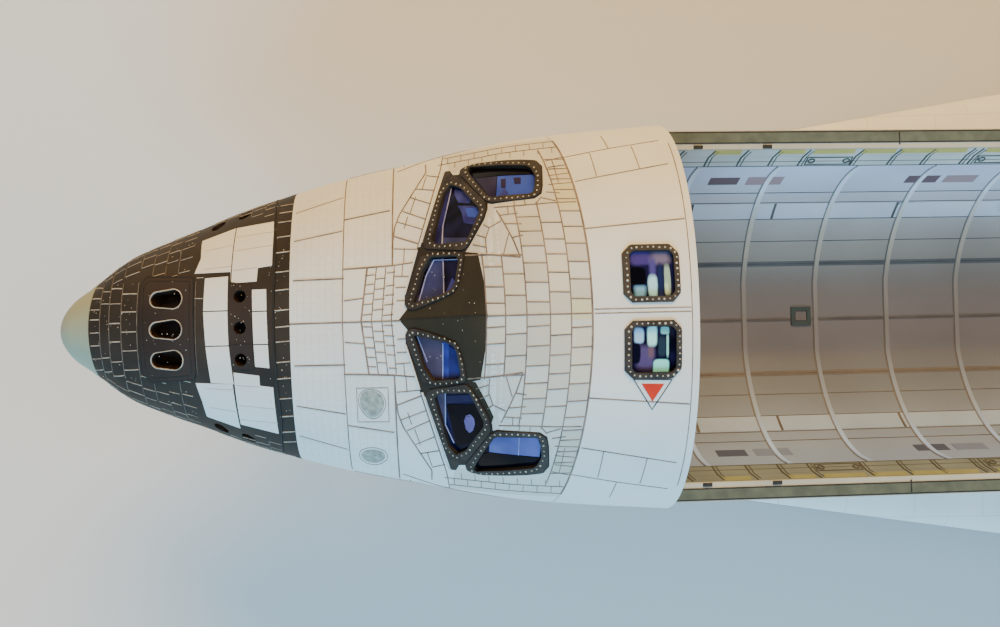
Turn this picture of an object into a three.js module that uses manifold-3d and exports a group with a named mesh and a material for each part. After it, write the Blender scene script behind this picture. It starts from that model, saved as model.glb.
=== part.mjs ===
// Space shuttle orbiter: a card display model at 1:100, parked on its gear.
// Its payload bay is open and without doors.
// The craft is drawn at full size in inches inside one group, and that group scales it down to millimetres.
// Station grows from nose to tail (X), buttline to starboard (Y), waterline up (Z).
import * as THREE from 'three';
import { mergeVertices } from 'three/addons/utils/BufferGeometryUtils.js';
import Module from 'manifold-3d';

const wasm = await Module();
wasm.setup();

// Scale and frame: the origin is on the ground under the middle of the length.
const MODEL_SCALE = 1 / 100;
const INCH = 25.4 * MODEL_SCALE;
const NOSE_TIP = 236;
const TAIL_END = 1702;
const GROUND = 136;
const GAP = 1.2;
const DEG = Math.PI / 180;

// Wall thicknesses of the card skins, in full-size inches.
const NOSE_WALL = 3.9;
const THIN_WALL = 2.4;

// Seams between the fuselage pieces.
const CAP_SEAM = 258;
const NOSE_SEAM = 378.5;
const TILE_SEAM = 530;
const CABIN_RIM = 584;
const BAY_END = 1306;
const BULKHEAD_PLATE = 4;
const BULKHEAD_INSET = 3;
const BASE_STATION = 1525;
const BASE_PLATE = 4;

// Fuselage sections: station, half width, bottom, waterline of the widest point, power of the lower half.
const HULL = [
  [236, 3.5, 331.5, 335, 2.0],
  [240, 12.5, 323, 335.5, 2.0],
  [246, 18.5, 317.5, 336, 2.0],
  [258, 26.5, 311, 337.5, 2.1],
  [280, 42, 301.5, 341, 2.25],
  [300, 50.5, 296, 344, 2.3],
  [322, 58.5, 291.5, 347, 2.45],
  [350, 69, 287, 351, 2.7],
  [378, 77.5, 284, 355, 3.0],
  [410, 85.5, 281.5, 362, 3.5],
  [444, 91.5, 280, 372, 4.0],
  [480, 97.5, 279, 384, 5.0],
  [510, 101.2, 279, 391, 6.5],
  [536, 103.5, 279, 396, 8.0],
  [584, 107, 279, 401, 10.0],
];
// Crown line: station, waterline, power of the upper half.
const CROWN = [
  [236, 338.5, 2.0],
  [240, 348, 2.0],
  [246, 354.5, 2.0],
  [258, 363, 2.0],
  [280, 377, 2.0],
  [300, 387, 2.0],
  [322, 397, 2.01],
  [350, 408, 2.03],
  [378, 418, 2.05],
  [410, 431, 2.07],
  [441, 444, 2.1],
  [460, 464, 2.17],
  [478, 484, 2.23],
  [492, 490.5, 2.28],
  [510, 496, 2.27],
  [536, 499.5, 2.22],
  [560, 501.5, 2.16],
  [584, 503, 2.1],
];
// How far the crown line is carried aft for each inch of buttline, which bows the windshield.
const BOW = [
  [236, 0],
  [380, 0],
  [441, 0.24],
  [500, 0.24],
  [560, 0],
  [584, 0],
];

// Window panes in plan, starboard side, and the outline of the frame round all three: station, buttline.
const PANES = [
  [[449, 9.8], [467, 15.5], [470, 30.5], [457.5, 32]],
  [[459, 42.5], [474, 38.5], [481.5, 55], [472.5, 70], [467, 70.5]],
  [[480.5, 75], [488.5, 62], [508.5, 62.5], [508.5, 74.5]],
];
const WINDSHIELD = [
  [443, 9], [446, 5.5], [470, 14], [474.5, 28], [474.5, 35], [487, 55], [489, 56.5], [510, 58],
  [514.5, 62], [516, 77], [513, 81], [480.5, 83], [463.5, 80], [452.5, 46], [452.5, 36], [443.5, 14],
];
const FRAME_PROUD = 1.2;
const GLASS_PLY = 2.4;
const OVERHEAD = { front: 548, rear: 575.5, inner: 4.5, outer: 31.5, chamfer: 4.5, rim: 4.2 };
// Stations between which the window layers are made, and the heights between which their outlines are cut.
const WINDSHIELD_LAYER = [432, 530];
const OVERHEAD_LAYER = [538, 582];
const WINDOW_LOW = 395;
const ROOF_LOW = 460;
const WINDOW_HIGH = 530;

// Thruster ports of the nose: rows of kind, station, buttline or waterline, radius, half length.
const FORWARD_PORTS = { station: 309, spacing: 16.5, radius: 6, reach: 5.5 };
const UP_PORTS = { station: 353, spacing: 17.5, radius: 4 };
const SIDE_PORTS = [[336, 371], [352, 374], [340, 338], [356, 340]];
const SIDE_PORT_RADIUS = 4;

// Payload bay: the mid fuselage, the liner, and the section of the starboard sill as buttline, waterline.
const BAY = { half: 103.5, belly: 279, corner: 26, wallTop: 404 };
const LINER = { half: 86, centre: 398, depth: 88, floor: 313, rim: 396, wall: 2.4 };
const SILL_OUTLINE = [
  [103.5, 414], [103.5, 405.2], [91.5, 405.2], [88.2, 397.3], [85.8, 398], [90, 407], [93, 414],
];

// Tail sections: station, half width, bottom, waterline of the widest point, power of the lower half, crown.
const TAIL = [
  [1300, 103.5, 279, 401, 10, 501],
  [1420, 103.5, 279, 401, 10, 500],
  [1480, 103.5, 280, 401, 9, 498],
  [1525, 103, 283, 400, 8, 494],
];
const TAIL_CROWN_POWER = 2.1;
// Only what lies behind the base and inside the tail's outline is kept of the engines' domes.
const DOME_ROOM = { inset: 3, rear: 1560, half: 101, low: 284, high: 494 };

// Wing: root buttline, underside at the root, hinge station, and the line of the rear edge.
const WING = {
  root: 104.8, keel: 281, hinge: 1387, dihedral: 3.5 * DEG, rearRoot: 1525.2, rearSweep: 0.1773,
};
// Sections: buttline, leading edge station, greatest thickness, aft shift of the thickest point.
const WING_SECTIONS = [
  [104.8, 586, 56, 2.4],
  [107.2, 587.5, 56, 2.4],
  [170, 985, 56, 1.0],
  [468, 1304, 16.6, 1.0],
];
// Share of the chord at which a section is thickest.
const THICKEST = 0.3;
// How much of a section's thinning in front of that is taken from below.
const NOSE_LIFT = 0.4;
// Hollow inside the wing: buttline, front station.
const WING_HOLLOW = [[100, 700], [170, 1054], [430, 1339]];
const WING_HOLLOW_REAR = 1352;
const WING_SKIN = 2.3;
// Grey leading edge in plan, as station, buttline.
// The first two points are its front end, the next three its rear line.
const EDGE_BAND = [
  [900, 173], [900, 146.8], [983, 160], [1005, 170], [1326, 470], [1326, 492], [1262, 492], [950, 182],
];
const PLAN_LOW = 230;
const PLAN_HIGH = 400;
const HINGE_RADIUS = { root: 15.5, slope: -0.026, at: 109 };
const HINGE_CLEAR = 1.9;
// Room for a hinged surface: how far it opens aft and up or down, its spare angle, and its ends on the wing.
const COVE = { rear: 160, high: 60, spare: 2, steps: 8, span: [100, 480] };
const ELEVONS = [['inboard', 109, 311.5], ['outboard', 313.5, 466.5]];
const ELEVON_SWING = { up: 35, down: 20 };
const ELEVON_TRAIL = 2.4;
const ELEVON_DROOP = 0.4;
// Hollow of an elevon: its reach as a share of the chord, and how far it is moved to the open end.
const ELEVON_HOLLOW = { reach: 0.72, shift: 4 };

// Fin: its front and rear edges in the side view, from foot to tip, and its thickness to chord ratio.
const FIN = {
  foot: 501.6, tip: 816, noseFoot: 1313, noseTip: 1593.6, rearFoot: 1546.5, rearTip: 1702, thick: 0.094,
};
// Share of the chord, and of the half thickness there.
const FIN_SECTION = [[0, 0.06], [0.08, 0.52], [0.25, 0.86], [0.5, 1], [0.75, 0.72], [1, 0.3]];
// Hollow of the fin: waterline, distance behind the front edge, distance before the rear edge.
const FIN_HOLLOW = [[499.6, 26, 30], [720, 26, 68]];
const RUDDER = { low: 594, high: 791, chordLow: 91.6, chordHigh: 50.8, swing: 27, trail: 2.4 };
const RUDDER_NOSE = 0.4;
const RUDDER_REACH = 0.93;
// Parachute housing at the fin's foot: station, half width, half height, all round one waterline.
const CHUTE = [[1478, 3, 4], [1500, 10, 12], [1535, 12.5, 15], [1572, 13, 16]];
const CHUTE_HEIGHT = 541;
const CHUTE_SIDES = 12;

const BODY_FLAP = { hinge: 1536, height: 290, half: 105.5, radius: 8.5, reach: 77, trail: 3, droop: 3 };

// Pods on the shoulders of the tail: station, buttline, waterline, half width, half height.
const POD = [
  [1316, 79, 478, 8, 8],
  [1336, 80, 480, 20, 18],
  [1370, 83, 482, 32, 28],
  [1420, 86, 483, 42, 36],
  [1480, 88, 484, 47, 41],
  [1524, 89, 485, 46, 41],
  [1552, 90, 487, 41, 37],
];
// Main engines: name, gimbal station, buttline, waterline, pitch, outward cant.
const ENGINES = [
  ['main_engine_top', 1445, 0, 443, 16, 0],
  ['main_engine_port', 1468, -53, 342.6, 10, -3.5],
  ['main_engine_starboard', 1468, 53, 342.6, 10, 3.5],
];
// Bell outline: distance from the gimbal, outer radius. A bell keeps clear of the tail all round.
const BELL = [[72, 20], [84, 27], [100, 34], [122, 40], [157, 45.35]];
const BELL_WALL = 2.6;
const BELL_FLOOR = 4;
const BELL_CLEAR = 1.8;
const BELL_ROOM_START = 30;
// Heat shield dome round each bell: radius, distance aft of the base.
const DOME = [[0, -12], [33, -12], [33, 0], [30, 8], [25, 14], [0, 14]];
const POD_NOZZLE = { station: 1512, buttline: 89, waterline: 486, pitch: 15.8, cant: 6.5 };
const POD_BELL = [[24, 9], [34, 14.5], [48, 19.5], [70, 22.5]];
const POD_BELL_WALL = 2;
const POD_ROOM_START = 10;
const POD_POWER = 2.4;
const POD_SIDES = 20;

// Gear: station, buttline, tyre radius and width, half spacing of the twins, radii of hub, axle and leg,
// half length of the axle sleeve, top of the leg, and where its brace ends.
const NOSE_GEAR = {
  x: 364, y: 0, tyre: 16, width: 8.8, twin: 11, hub: 8.6, axle: 2.5, leg: 4.6, sleeve: 5.2, top: 326.1,
  braceTo: [306, 0, 323],
};
const MAIN_GEAR = {
  x: 1176, y: 137, tyre: 22.25, width: 16, twin: 18.5, hub: 12, axle: 3, leg: 6, sleeve: 9, top: 319.6,
  braceTo: [1084, 137, 314],
};
// Heights above the axle at which the thick part of a leg and its brace start.
// The piston and the brace are thinner than the leg by these shares.
const LEG = { thickFrom: 58, overlap: 2, braceFrom: 78, pistonShare: 0.72, braceShare: 0.42 };
const SLEEVE_WALL = 3.2;
const BORE_CLEAR = 0.36;
// Wheel disc: offsets of its faces from the wheel's inner and outer sides, and steps over the axle's radius.
const DISC = {
  innerFace: 0.2, innerBevel: 1.6, outerBevel: 1.4, dishDepth: 2.6, outerFace: 0.6,
  collar: 3, boss: 1.5, dishShare: 0.62,
};
// Tyre section from the sidewall to the tread: share of the outer radius, share of the half width.
const TYRE_SECTION = [[0.86, 1], [0.97, 0.72], [1, 0.3]];
const BEAD_WIDTH = 0.8;
const NOSE_WELL = { front: 296, rear: 374, half: 14, roof: 331, wall: 2.5, frontRim: 299.5, rearRim: 287.5 };
const MAIN_WELL = { front: 1060, rear: 1190, inner: 112, outer: 172, roof: 322, rim: 286.5, wall: 2.5 };
const WELL_LOW = 250;
// Doors: their thickness, how far they end from the well's ends, and their upper and lower edges.
const DOOR_PLY = 2.2;
const NOSE_DOOR = { inset: 1, gap: 0.6, frontTop: 296.6, rearTop: 283.4, drop: 15 };
const MAIN_DOOR = { inset: 2, top: 283.6, bottom: 227 };

// Colours of the card, as the photograph shows them.
function paint(color, roughness = 0.7, metalness = 0) {
  return new THREE.MeshStandardMaterial({ color, roughness, metalness });
}
const WHITE_CARD = paint('#dcdbe2');
const CAP_CARD = paint('#b9c6b3');
const BLACK_TILE = paint('#3c342e');
const FRAME_CARD = paint('#33302f', 0.6);
const GLASS_FILM = paint('#1b2a66', 0.12);
const LINER_CARD = paint('#b9aca6');
const SILL_CARD = paint('#7b8273');
const BULKHEAD_CARD = paint('#a9a8a4');
const EDGE_CARD = paint('#8f8d8c');
const BELLY_CARD = paint('#35322f');
const BELL_METAL = paint('#6f6a66', 0.45, 0.4);
const LEG_CARD = paint('#c9c9c6', 0.5);
const HUB_CARD = paint('#bdbdb9', 0.5);
const TYRE_CARD = paint('#262524', 0.9);

// Small geometry kit.
function column(rows, station, at) {
  const last = rows.length - 1;
  if (station <= rows[0][0]) return rows[0][at];
  if (station >= rows[last][0]) return rows[last][at];
  const k = rows.findIndex((row) => row[0] > station) - 1;
  const t = (station - rows[k][0]) / (rows[k + 1][0] - rows[k][0]);
  return rows[k][at] + t * (rows[k + 1][at] - rows[k][at]);
}

function slope(rows, station, at) {
  return (column(rows, station + 1, at) - column(rows, station - 1, at)) / 2;
}

function solid(geometry) {
  const bare = geometry.clone();
  bare.deleteAttribute('normal');
  bare.deleteAttribute('uv');
  const merged = mergeVertices(bare, 1e-4);
  const vertProperties = new Float32Array(merged.attributes.position.array);
  const triVerts = new Uint32Array(merged.index.array);
  let volume = 0;
  const corner = (i) => new THREE.Vector3().fromArray(vertProperties, 3 * i);
  for (let k = 0; k < triVerts.length; k += 3) {
    volume += corner(triVerts[k]).dot(corner(triVerts[k + 1]).cross(corner(triVerts[k + 2])));
  }
  if (volume < 0) triVerts.reverse();
  return new wasm.Manifold(new wasm.Mesh({ numProp: 3, vertProperties, triVerts }));
}

function shape2d(points) {
  return new THREE.Shape(points.map(([u, v]) => new THREE.Vector2(u, v)));
}

// Closed body through matching rings, each a list of points in the same order, with flat ends.
function loft(rings) {
  const size = rings[0].length;
  const positions = rings.flatMap((ring) => ring.flatMap((p) => p));
  const index = [];
  for (let k = 0; k + 1 < rings.length; k += 1) {
    for (let i = 0; i < size; i += 1) {
      const a = k * size + i;
      const b = k * size + ((i + 1) % size);
      index.push(a, b, a + size, b, b + size, a + size);
    }
  }
  [0, rings.length - 1].forEach((k, end) => {
    const ring = rings[k];
    const middle = [0, 1, 2].map((axis) => ring.reduce((sum, p) => sum + p[axis], 0) / size);
    const hub = positions.length / 3;
    positions.push(...middle);
    for (let i = 0; i < size; i += 1) {
      const a = k * size + i;
      const b = k * size + ((i + 1) % size);
      if (end === 0) index.push(b, a, hub);
      else index.push(a, b, hub);
    }
  });
  const geometry = new THREE.BufferGeometry();
  geometry.setAttribute('position', new THREE.Float32BufferAttribute(positions, 3));
  geometry.setIndex(index);
  return solid(geometry);
}

// Upright prism over an outline given as station, buttline.
function planPrism(outline, low, high) {
  const geometry = new THREE.ExtrudeGeometry(shape2d(outline), { depth: high - low, bevelEnabled: false });
  return solid(geometry.translate(0, 0, low));
}

// Prism along the craft over an outline given as buttline, waterline.
function lengthPrism(outline, front, rear) {
  const geometry = new THREE.ExtrudeGeometry(shape2d(outline), { depth: rear - front, bevelEnabled: false });
  const turn = new THREE.Matrix4().makeBasis(
    new THREE.Vector3(0, 1, 0), new THREE.Vector3(0, 0, 1), new THREE.Vector3(1, 0, 0),
  );
  return solid(geometry.applyMatrix4(turn).translate(front, 0, 0));
}

// Prism across the craft over an outline given as station, waterline.
function crossPrism(outline, inner, outer) {
  const depth = outer - inner;
  const geometry = new THREE.ExtrudeGeometry(shape2d(outline), { depth, bevelEnabled: false });
  return solid(geometry.rotateX(Math.PI / 2).translate(0, outer, 0));
}

function box(low, high) {
  const [x, y, z] = [0, 1, 2].map((k) => high[k] - low[k]);
  const geometry = new THREE.BoxGeometry(x, y, z);
  return solid(geometry.translate((low[0] + high[0]) / 2, (low[1] + high[1]) / 2, (low[2] + high[2]) / 2));
}

// Cylinders and turned bodies are made about this axis.
const LATHE_AXIS = new THREE.Vector3(0, 1, 0);

// Cylinder between two points.
function rod(from, to, radius, sides = 12) {
  const a = new THREE.Vector3(...from);
  const b = new THREE.Vector3(...to);
  const geometry = new THREE.CylinderGeometry(radius, radius, a.distanceTo(b), sides);
  const turn = new THREE.Quaternion().setFromUnitVectors(LATHE_AXIS, b.clone().sub(a).normalize());
  geometry.applyQuaternion(turn);
  return solid(geometry.translate((a.x + b.x) / 2, (a.y + b.y) / 2, (a.z + b.z) / 2));
}

function turned(profile, sides) {
  return new THREE.LatheGeometry(profile.map(([r, h]) => new THREE.Vector2(r, h)), sides);
}

function joined(solids) {
  return solids.reduce((sum, one) => sum.add(one));
}

// Outline pulled in by a distance, for a convex outline.
function pulledIn(outline, distance) {
  const size = outline.length;
  const area = outline.reduce((sum, [x, y], i) => {
    const [nx, ny] = outline[(i + 1) % size];
    return sum + x * ny - nx * y;
  }, 0);
  const side = Math.sign(area);
  const line = (i) => {
    const [ax, ay] = outline[i % size];
    const [bx, by] = outline[(i + 1) % size];
    const length = Math.hypot(bx - ax, by - ay);
    const normal = [(-(by - ay) / length) * side, ((bx - ax) / length) * side];
    return { normal, offset: normal[0] * ax + normal[1] * ay + distance };
  };
  return outline.map((_, i) => {
    const p = line(i + size - 1);
    const q = line(i);
    const det = p.normal[0] * q.normal[1] - p.normal[1] * q.normal[0];
    const x = (p.offset * q.normal[1] - q.offset * p.normal[1]) / det;
    const y = (q.offset * p.normal[0] - p.offset * q.normal[0]) / det;
    return [x, y];
  });
}

const craft = new THREE.Group();
craft.scale.setScalar(INCH);
craft.position.set((-(NOSE_TIP + TAIL_END) / 2) * INCH, 0, -GROUND * INCH);

function toGeometry(body, mirror = false) {
  const { vertProperties, triVerts, numProp } = body.getMesh();
  const positions = [];
  for (let i = 0; i < vertProperties.length; i += numProp) {
    const side = mirror ? -1 : 1;
    positions.push(vertProperties[i], vertProperties[i + 1] * side, vertProperties[i + 2]);
  }
  const index = Array.from(triVerts);
  if (mirror) index.reverse();
  const geometry = new THREE.BufferGeometry();
  geometry.setAttribute('position', new THREE.Float32BufferAttribute(positions, 3));
  geometry.setIndex(index);
  geometry.computeVertexNormals();
  return geometry;
}

function addPiece(name, body, material, mirror = false) {
  const mesh = new THREE.Mesh(toGeometry(body, mirror), material);
  mesh.name = name;
  craft.add(mesh);
  return mesh;
}

// Adds the starboard piece and its mirror image on the port side.
function addPair(name, body, material) {
  addPiece(`${name}_starboard`, body, material);
  addPiece(`${name}_port`, body, material, true);
}

// Fuselage section: a superellipse whose crown is bowed aft towards the sides.
const HULL_SIDES = 28;
function hullRing(station, inset = 0) {
  const spread = inset * Math.hypot(1, slope(HULL, station, 1));
  const half = column(HULL, station, 1) - spread;
  const bottom = column(HULL, station, 2) + inset * Math.hypot(1, slope(HULL, station, 2));
  const widest = column(HULL, station, 3);
  const lowPower = column(HULL, station, 4);
  const highPower = column(CROWN, station, 2);
  const ring = [];
  for (let i = 0; i < HULL_SIDES; i += 1) {
    const angle = (2 * Math.PI * i) / HULL_SIDES;
    const c = Math.cos(angle);
    const s = Math.sin(angle);
    const power = s >= 0 ? highPower : lowPower;
    const across = half * Math.sign(c) * Math.abs(c) ** (2 / power);
    const source = station - column(BOW, station, 1) * Math.abs(across);
    const crown = column(CROWN, source, 1) - inset * Math.hypot(1, slope(CROWN, source, 1));
    const rise = s >= 0 ? crown - widest : widest - bottom;
    const up = widest + rise * Math.sign(s) * Math.abs(s) ** (2 / power);
    ring.push([station, across, up]);
  }
  return ring;
}

function hullStations(front, rear) {
  const marks = [...HULL, ...CROWN].map((row) => row[0]).filter((x) => x > front + 2 && x < rear - 2);
  return [front, ...[...new Set(marks)].sort((a, b) => a - b), rear];
}

function hullSolid(front, rear, inset = 0) {
  return loft(hullStations(front, rear).map((x) => hullRing(x, inset)));
}

function hullShell(front, rear, wall) {
  return hullSolid(front, rear).subtract(hullSolid(front - 1, rear + 1, wall));
}

// Nose: the cap is solid, the section behind it is a shell with thruster ports and a wheel well.
addPiece('nose_cap', hullSolid(NOSE_TIP, CAP_SEAM - GAP / 2), CAP_CARD);

function ovalOutline(x, y, radius, reach, steps = 4) {
  const points = [];
  for (let i = 0; i <= steps; i += 1) {
    const a = (Math.PI * i) / steps - Math.PI / 2;
    points.push([x + reach + radius * Math.cos(a), y + radius * Math.sin(a)]);
  }
  for (let i = 0; i <= steps; i += 1) {
    const a = (Math.PI * i) / steps + Math.PI / 2;
    points.push([x - reach + radius * Math.cos(a), y + radius * Math.sin(a)]);
  }
  return points;
}

const { front: noseWellFront, rear: noseWellRear, half: noseWellHalf, roof: noseWellRoof } = NOSE_WELL;
const noseCuts = [
  box([noseWellFront, -noseWellHalf, WELL_LOW], [noseWellRear, noseWellHalf, noseWellRoof]),
];
const PORT_CUT = { low: 350, high: 440, inner: 40, outer: 100 };
[-1, 0, 1].forEach((row) => {
  const { station, spacing, radius, reach } = FORWARD_PORTS;
  noseCuts.push(planPrism(ovalOutline(station, row * spacing, radius, reach), PORT_CUT.low, PORT_CUT.high));
  const up = [UP_PORTS.station, row * UP_PORTS.spacing];
  noseCuts.push(rod([...up, PORT_CUT.low], [...up, PORT_CUT.high], UP_PORTS.radius, 10));
});
SIDE_PORTS.forEach(([x, z]) => {
  noseCuts.push(rod([x, PORT_CUT.inner, z], [x, PORT_CUT.outer, z], SIDE_PORT_RADIUS, 8));
  noseCuts.push(rod([x, -PORT_CUT.outer, z], [x, -PORT_CUT.inner, z], SIDE_PORT_RADIUS, 8));
});
const noseShell = hullShell(CAP_SEAM + GAP / 2, NOSE_SEAM - GAP / 2, NOSE_WALL);
addPiece('nose_section', noseCuts.reduce((body, cut) => body.subtract(cut), noseShell), BLACK_TILE);

// Cockpit: the windshield frames fill two cut-outs, and a film of glazing lies behind each.
const mirrorOutline = (outline) => outline.map(([x, y]) => [x, -y]).reverse();
// A layer of the hull between two depths below its skin; its inner side runs past both ends.
function hullLayer([front, rear], outside, inside) {
  return hullSolid(front, rear, outside).subtract(hullSolid(front - 2, rear + 2, inside));
}
const windshieldHole = pulledIn(WINDSHIELD, -GAP);
let cockpit = hullShell(NOSE_SEAM + GAP / 2, TILE_SEAM - GAP / 2, NOSE_WALL);
[windshieldHole, mirrorOutline(windshieldHole)].forEach((outline) => {
  cockpit = cockpit.subtract(planPrism(outline, WINDOW_LOW, WINDOW_HIGH));
});
addPiece('cockpit_section', cockpit, WHITE_CARD);

const windshieldPrism = planPrism(WINDSHIELD, WINDOW_LOW, WINDOW_HIGH);
let windshieldFrame = hullLayer(WINDSHIELD_LAYER, -FRAME_PROUD, NOSE_WALL).intersect(windshieldPrism);
PANES.forEach((outline) => {
  windshieldFrame = windshieldFrame.subtract(planPrism(outline, WINDOW_LOW, WINDOW_HIGH));
});
addPair('windshield_frame', windshieldFrame, FRAME_CARD);

const filmOuter = NOSE_WALL + GAP;
const windshieldFilm = hullLayer(WINDSHIELD_LAYER, filmOuter, filmOuter + GLASS_PLY);
addPair('windshield_glass', windshieldFilm.intersect(windshieldPrism), GLASS_FILM);

// Cabin roof behind the tiles, with two overhead windows.
function overheadOutline(grow) {
  const { front, rear, inner, outer, chamfer } = OVERHEAD;
  const [a, b, c, d] = [front - grow, rear + grow, inner - grow, outer + grow];
  return [
    [a + chamfer, c], [b - chamfer, c], [b, c + chamfer], [b, d - chamfer],
    [b - chamfer, d], [a + chamfer, d], [a, d - chamfer], [a, c + chamfer],
  ];
}
let cabin = hullShell(TILE_SEAM + GAP / 2, CABIN_RIM, NOSE_WALL);
[overheadOutline(GAP), mirrorOutline(overheadOutline(GAP))].forEach((outline) => {
  cabin = cabin.subtract(planPrism(outline, ROOF_LOW, WINDOW_HIGH));
});
addPiece('cabin_section', cabin, WHITE_CARD);

const overheadPrism = planPrism(overheadOutline(0), ROOF_LOW, WINDOW_HIGH);
const overheadPane = planPrism(overheadOutline(-OVERHEAD.rim), ROOF_LOW, WINDOW_HIGH);
const overheadRing = overheadPrism.subtract(overheadPane);
const roofLayer = hullLayer(OVERHEAD_LAYER, -FRAME_PROUD, NOSE_WALL);
addPair('overhead_frame', roofLayer.intersect(overheadRing), FRAME_CARD);
const roofFilm = hullLayer(OVERHEAD_LAYER, filmOuter, filmOuter + GLASS_PLY);
addPair('overhead_glass', roofFilm.intersect(overheadPrism), GLASS_FILM);

// Plate that closes the cabin towards the bay.
const plateRear = CABIN_RIM - BULKHEAD_INSET;
const plateSolid = hullSolid(plateRear - BULKHEAD_PLATE, plateRear, NOSE_WALL + GAP);
addPiece('forward_bulkhead', plateSolid, BULKHEAD_CARD);

// Mid fuselage: an open trough with a flat belly and rounded corners.
function troughOutline(inset, top) {
  const [half, bottom, corner] = [BAY.half - inset, BAY.belly + inset, BAY.corner - inset];
  const points = [[-half, top], [-half, bottom + corner]];
  const steps = 5;
  for (let i = 1; i <= steps; i += 1) {
    const a = (Math.PI / 2) * (i / steps);
    points.push([-half + corner * (1 - Math.cos(a)), bottom + corner * (1 - Math.sin(a))]);
  }
  return [...points, ...points.map(([y, z]) => [-y, z]).reverse()];
}
const midFront = CABIN_RIM + GAP;
const midFuselage = lengthPrism(troughOutline(0, BAY.wallTop), midFront, BAY_END)
  .subtract(lengthPrism(troughOutline(NOSE_WALL, BAY.wallTop + 10), midFront - 1, BAY_END + 1));
addPiece('mid_fuselage', midFuselage, WHITE_CARD);

// Bay liner: a rounded trough of card with a flat floor.
function linerCurve(wall) {
  const steps = 20;
  const points = [];
  for (let i = 0; i <= steps; i += 1) {
    const a = (Math.PI * i) / steps;
    const y = -(LINER.half + wall) * Math.cos(a);
    const z = LINER.centre - (LINER.depth + wall) * Math.sin(a);
    points.push([y, Math.max(Math.min(z, LINER.rim), LINER.floor - wall)]);
  }
  return points;
}
const linerOutline = [...linerCurve(LINER.wall), ...linerCurve(0).reverse()];
addPiece('bay_liner', lengthPrism(linerOutline, midFront, BAY_END), LINER_CARD);

// Sills: flat on top, with a lip that leans in to the liner.
addPair('sill', lengthPrism(SILL_OUTLINE, midFront, BAY_END), SILL_CARD);

// Tail: the bulkhead plate, then a shell that is closed at its base.
function tailRing(station, inset = 0) {
  const ring = [];
  const [half, bottom, widest, lowPower, crown] = [1, 2, 3, 4, 5].map((at) => column(TAIL, station, at));
  for (let i = 0; i < HULL_SIDES; i += 1) {
    const angle = (2 * Math.PI * i) / HULL_SIDES;
    const c = Math.cos(angle);
    const s = Math.sin(angle);
    const power = s >= 0 ? TAIL_CROWN_POWER : lowPower;
    const rise = s >= 0 ? crown - inset - widest : widest - bottom - inset;
    const across = (half - inset) * Math.sign(c) * Math.abs(c) ** (2 / power);
    ring.push([station, across, widest + rise * Math.sign(s) * Math.abs(s) ** (2 / power)]);
  }
  return ring;
}
// The stations of the tail's sections between its two ends.
const tailMarks = TAIL.slice(1, -1).map((row) => row[0]);
function tailSolid(front, rear, inset) {
  const marks = tailMarks.filter((x) => x > front && x < rear);
  return loft([front, ...marks, rear].map((x) => tailRing(x, inset)));
}
const plateFront = BAY_END + GAP;
addPiece('aft_bulkhead', tailSolid(plateFront, plateFront + BULKHEAD_PLATE, 0), BULKHEAD_CARD);

const tailFront = plateFront + BULKHEAD_PLATE + GAP;
let tail = tailSolid(tailFront, BASE_STATION, 0)
  .subtract(tailSolid(tailFront - 1, BASE_STATION - BASE_PLATE, THIN_WALL));

// Engine axes: a matrix that stands a turned body on its gimbal and points it aft.
function engineMatrix(station, buttline, waterline, pitch, cant) {
  const aim = new THREE.Vector3(1, Math.tan(cant * DEG), Math.tan(pitch * DEG)).normalize();
  const turn = new THREE.Quaternion().setFromUnitVectors(LATHE_AXIS, aim);
  return new THREE.Matrix4().compose(
    new THREE.Vector3(station, buttline, waterline), turn, new THREE.Vector3(1, 1, 1),
  );
}
function bell(rows, wall, sides) {
  const [start] = rows[0];
  const [end, rim] = rows[rows.length - 1];
  const floor = start + wall + BELL_FLOOR;
  const outside = rows.map(([d, r]) => [r, d]);
  const inside = rows.slice(1, -1).reverse().map(([d, r]) => [r - wall, d]);
  return turned([[0, start], ...outside, [rim - wall, end], ...inside, [0, floor]], sides);
}
// The room that a bell needs, from a start before its throat.
function bellRoom(rows, start, sides) {
  const [end] = rows[rows.length - 1];
  const wider = rows.map(([d, r]) => [r + BELL_CLEAR, d]);
  return turned([...start, ...wider, [0, end]], sides);
}
const engineRooms = [];
const domeLimit = box(
  [BASE_STATION - DOME_ROOM.inset, -DOME_ROOM.half, DOME_ROOM.low],
  [DOME_ROOM.rear, DOME_ROOM.half, DOME_ROOM.high],
);
ENGINES.forEach(([name, station, buttline, waterline, pitch, cant]) => {
  const stand = engineMatrix(station, buttline, waterline, pitch, cant);
  const baseAt = (BASE_STATION - station) / Math.cos(pitch * DEG);
  const dome = turned(DOME.map(([r, d]) => [r, d + baseAt]), 16).applyMatrix4(stand);
  const room = solid(bellRoom(BELL, [[0, BELL_ROOM_START]], 16).applyMatrix4(stand));
  engineRooms.push(room);
  tail = tail.add(solid(dome).intersect(domeLimit)).subtract(room);
  addPiece(name, solid(bell(BELL, BELL_WALL, 20).applyMatrix4(stand)), BELL_METAL);
});
addPiece('aft_fuselage', tail, WHITE_CARD);

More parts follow.
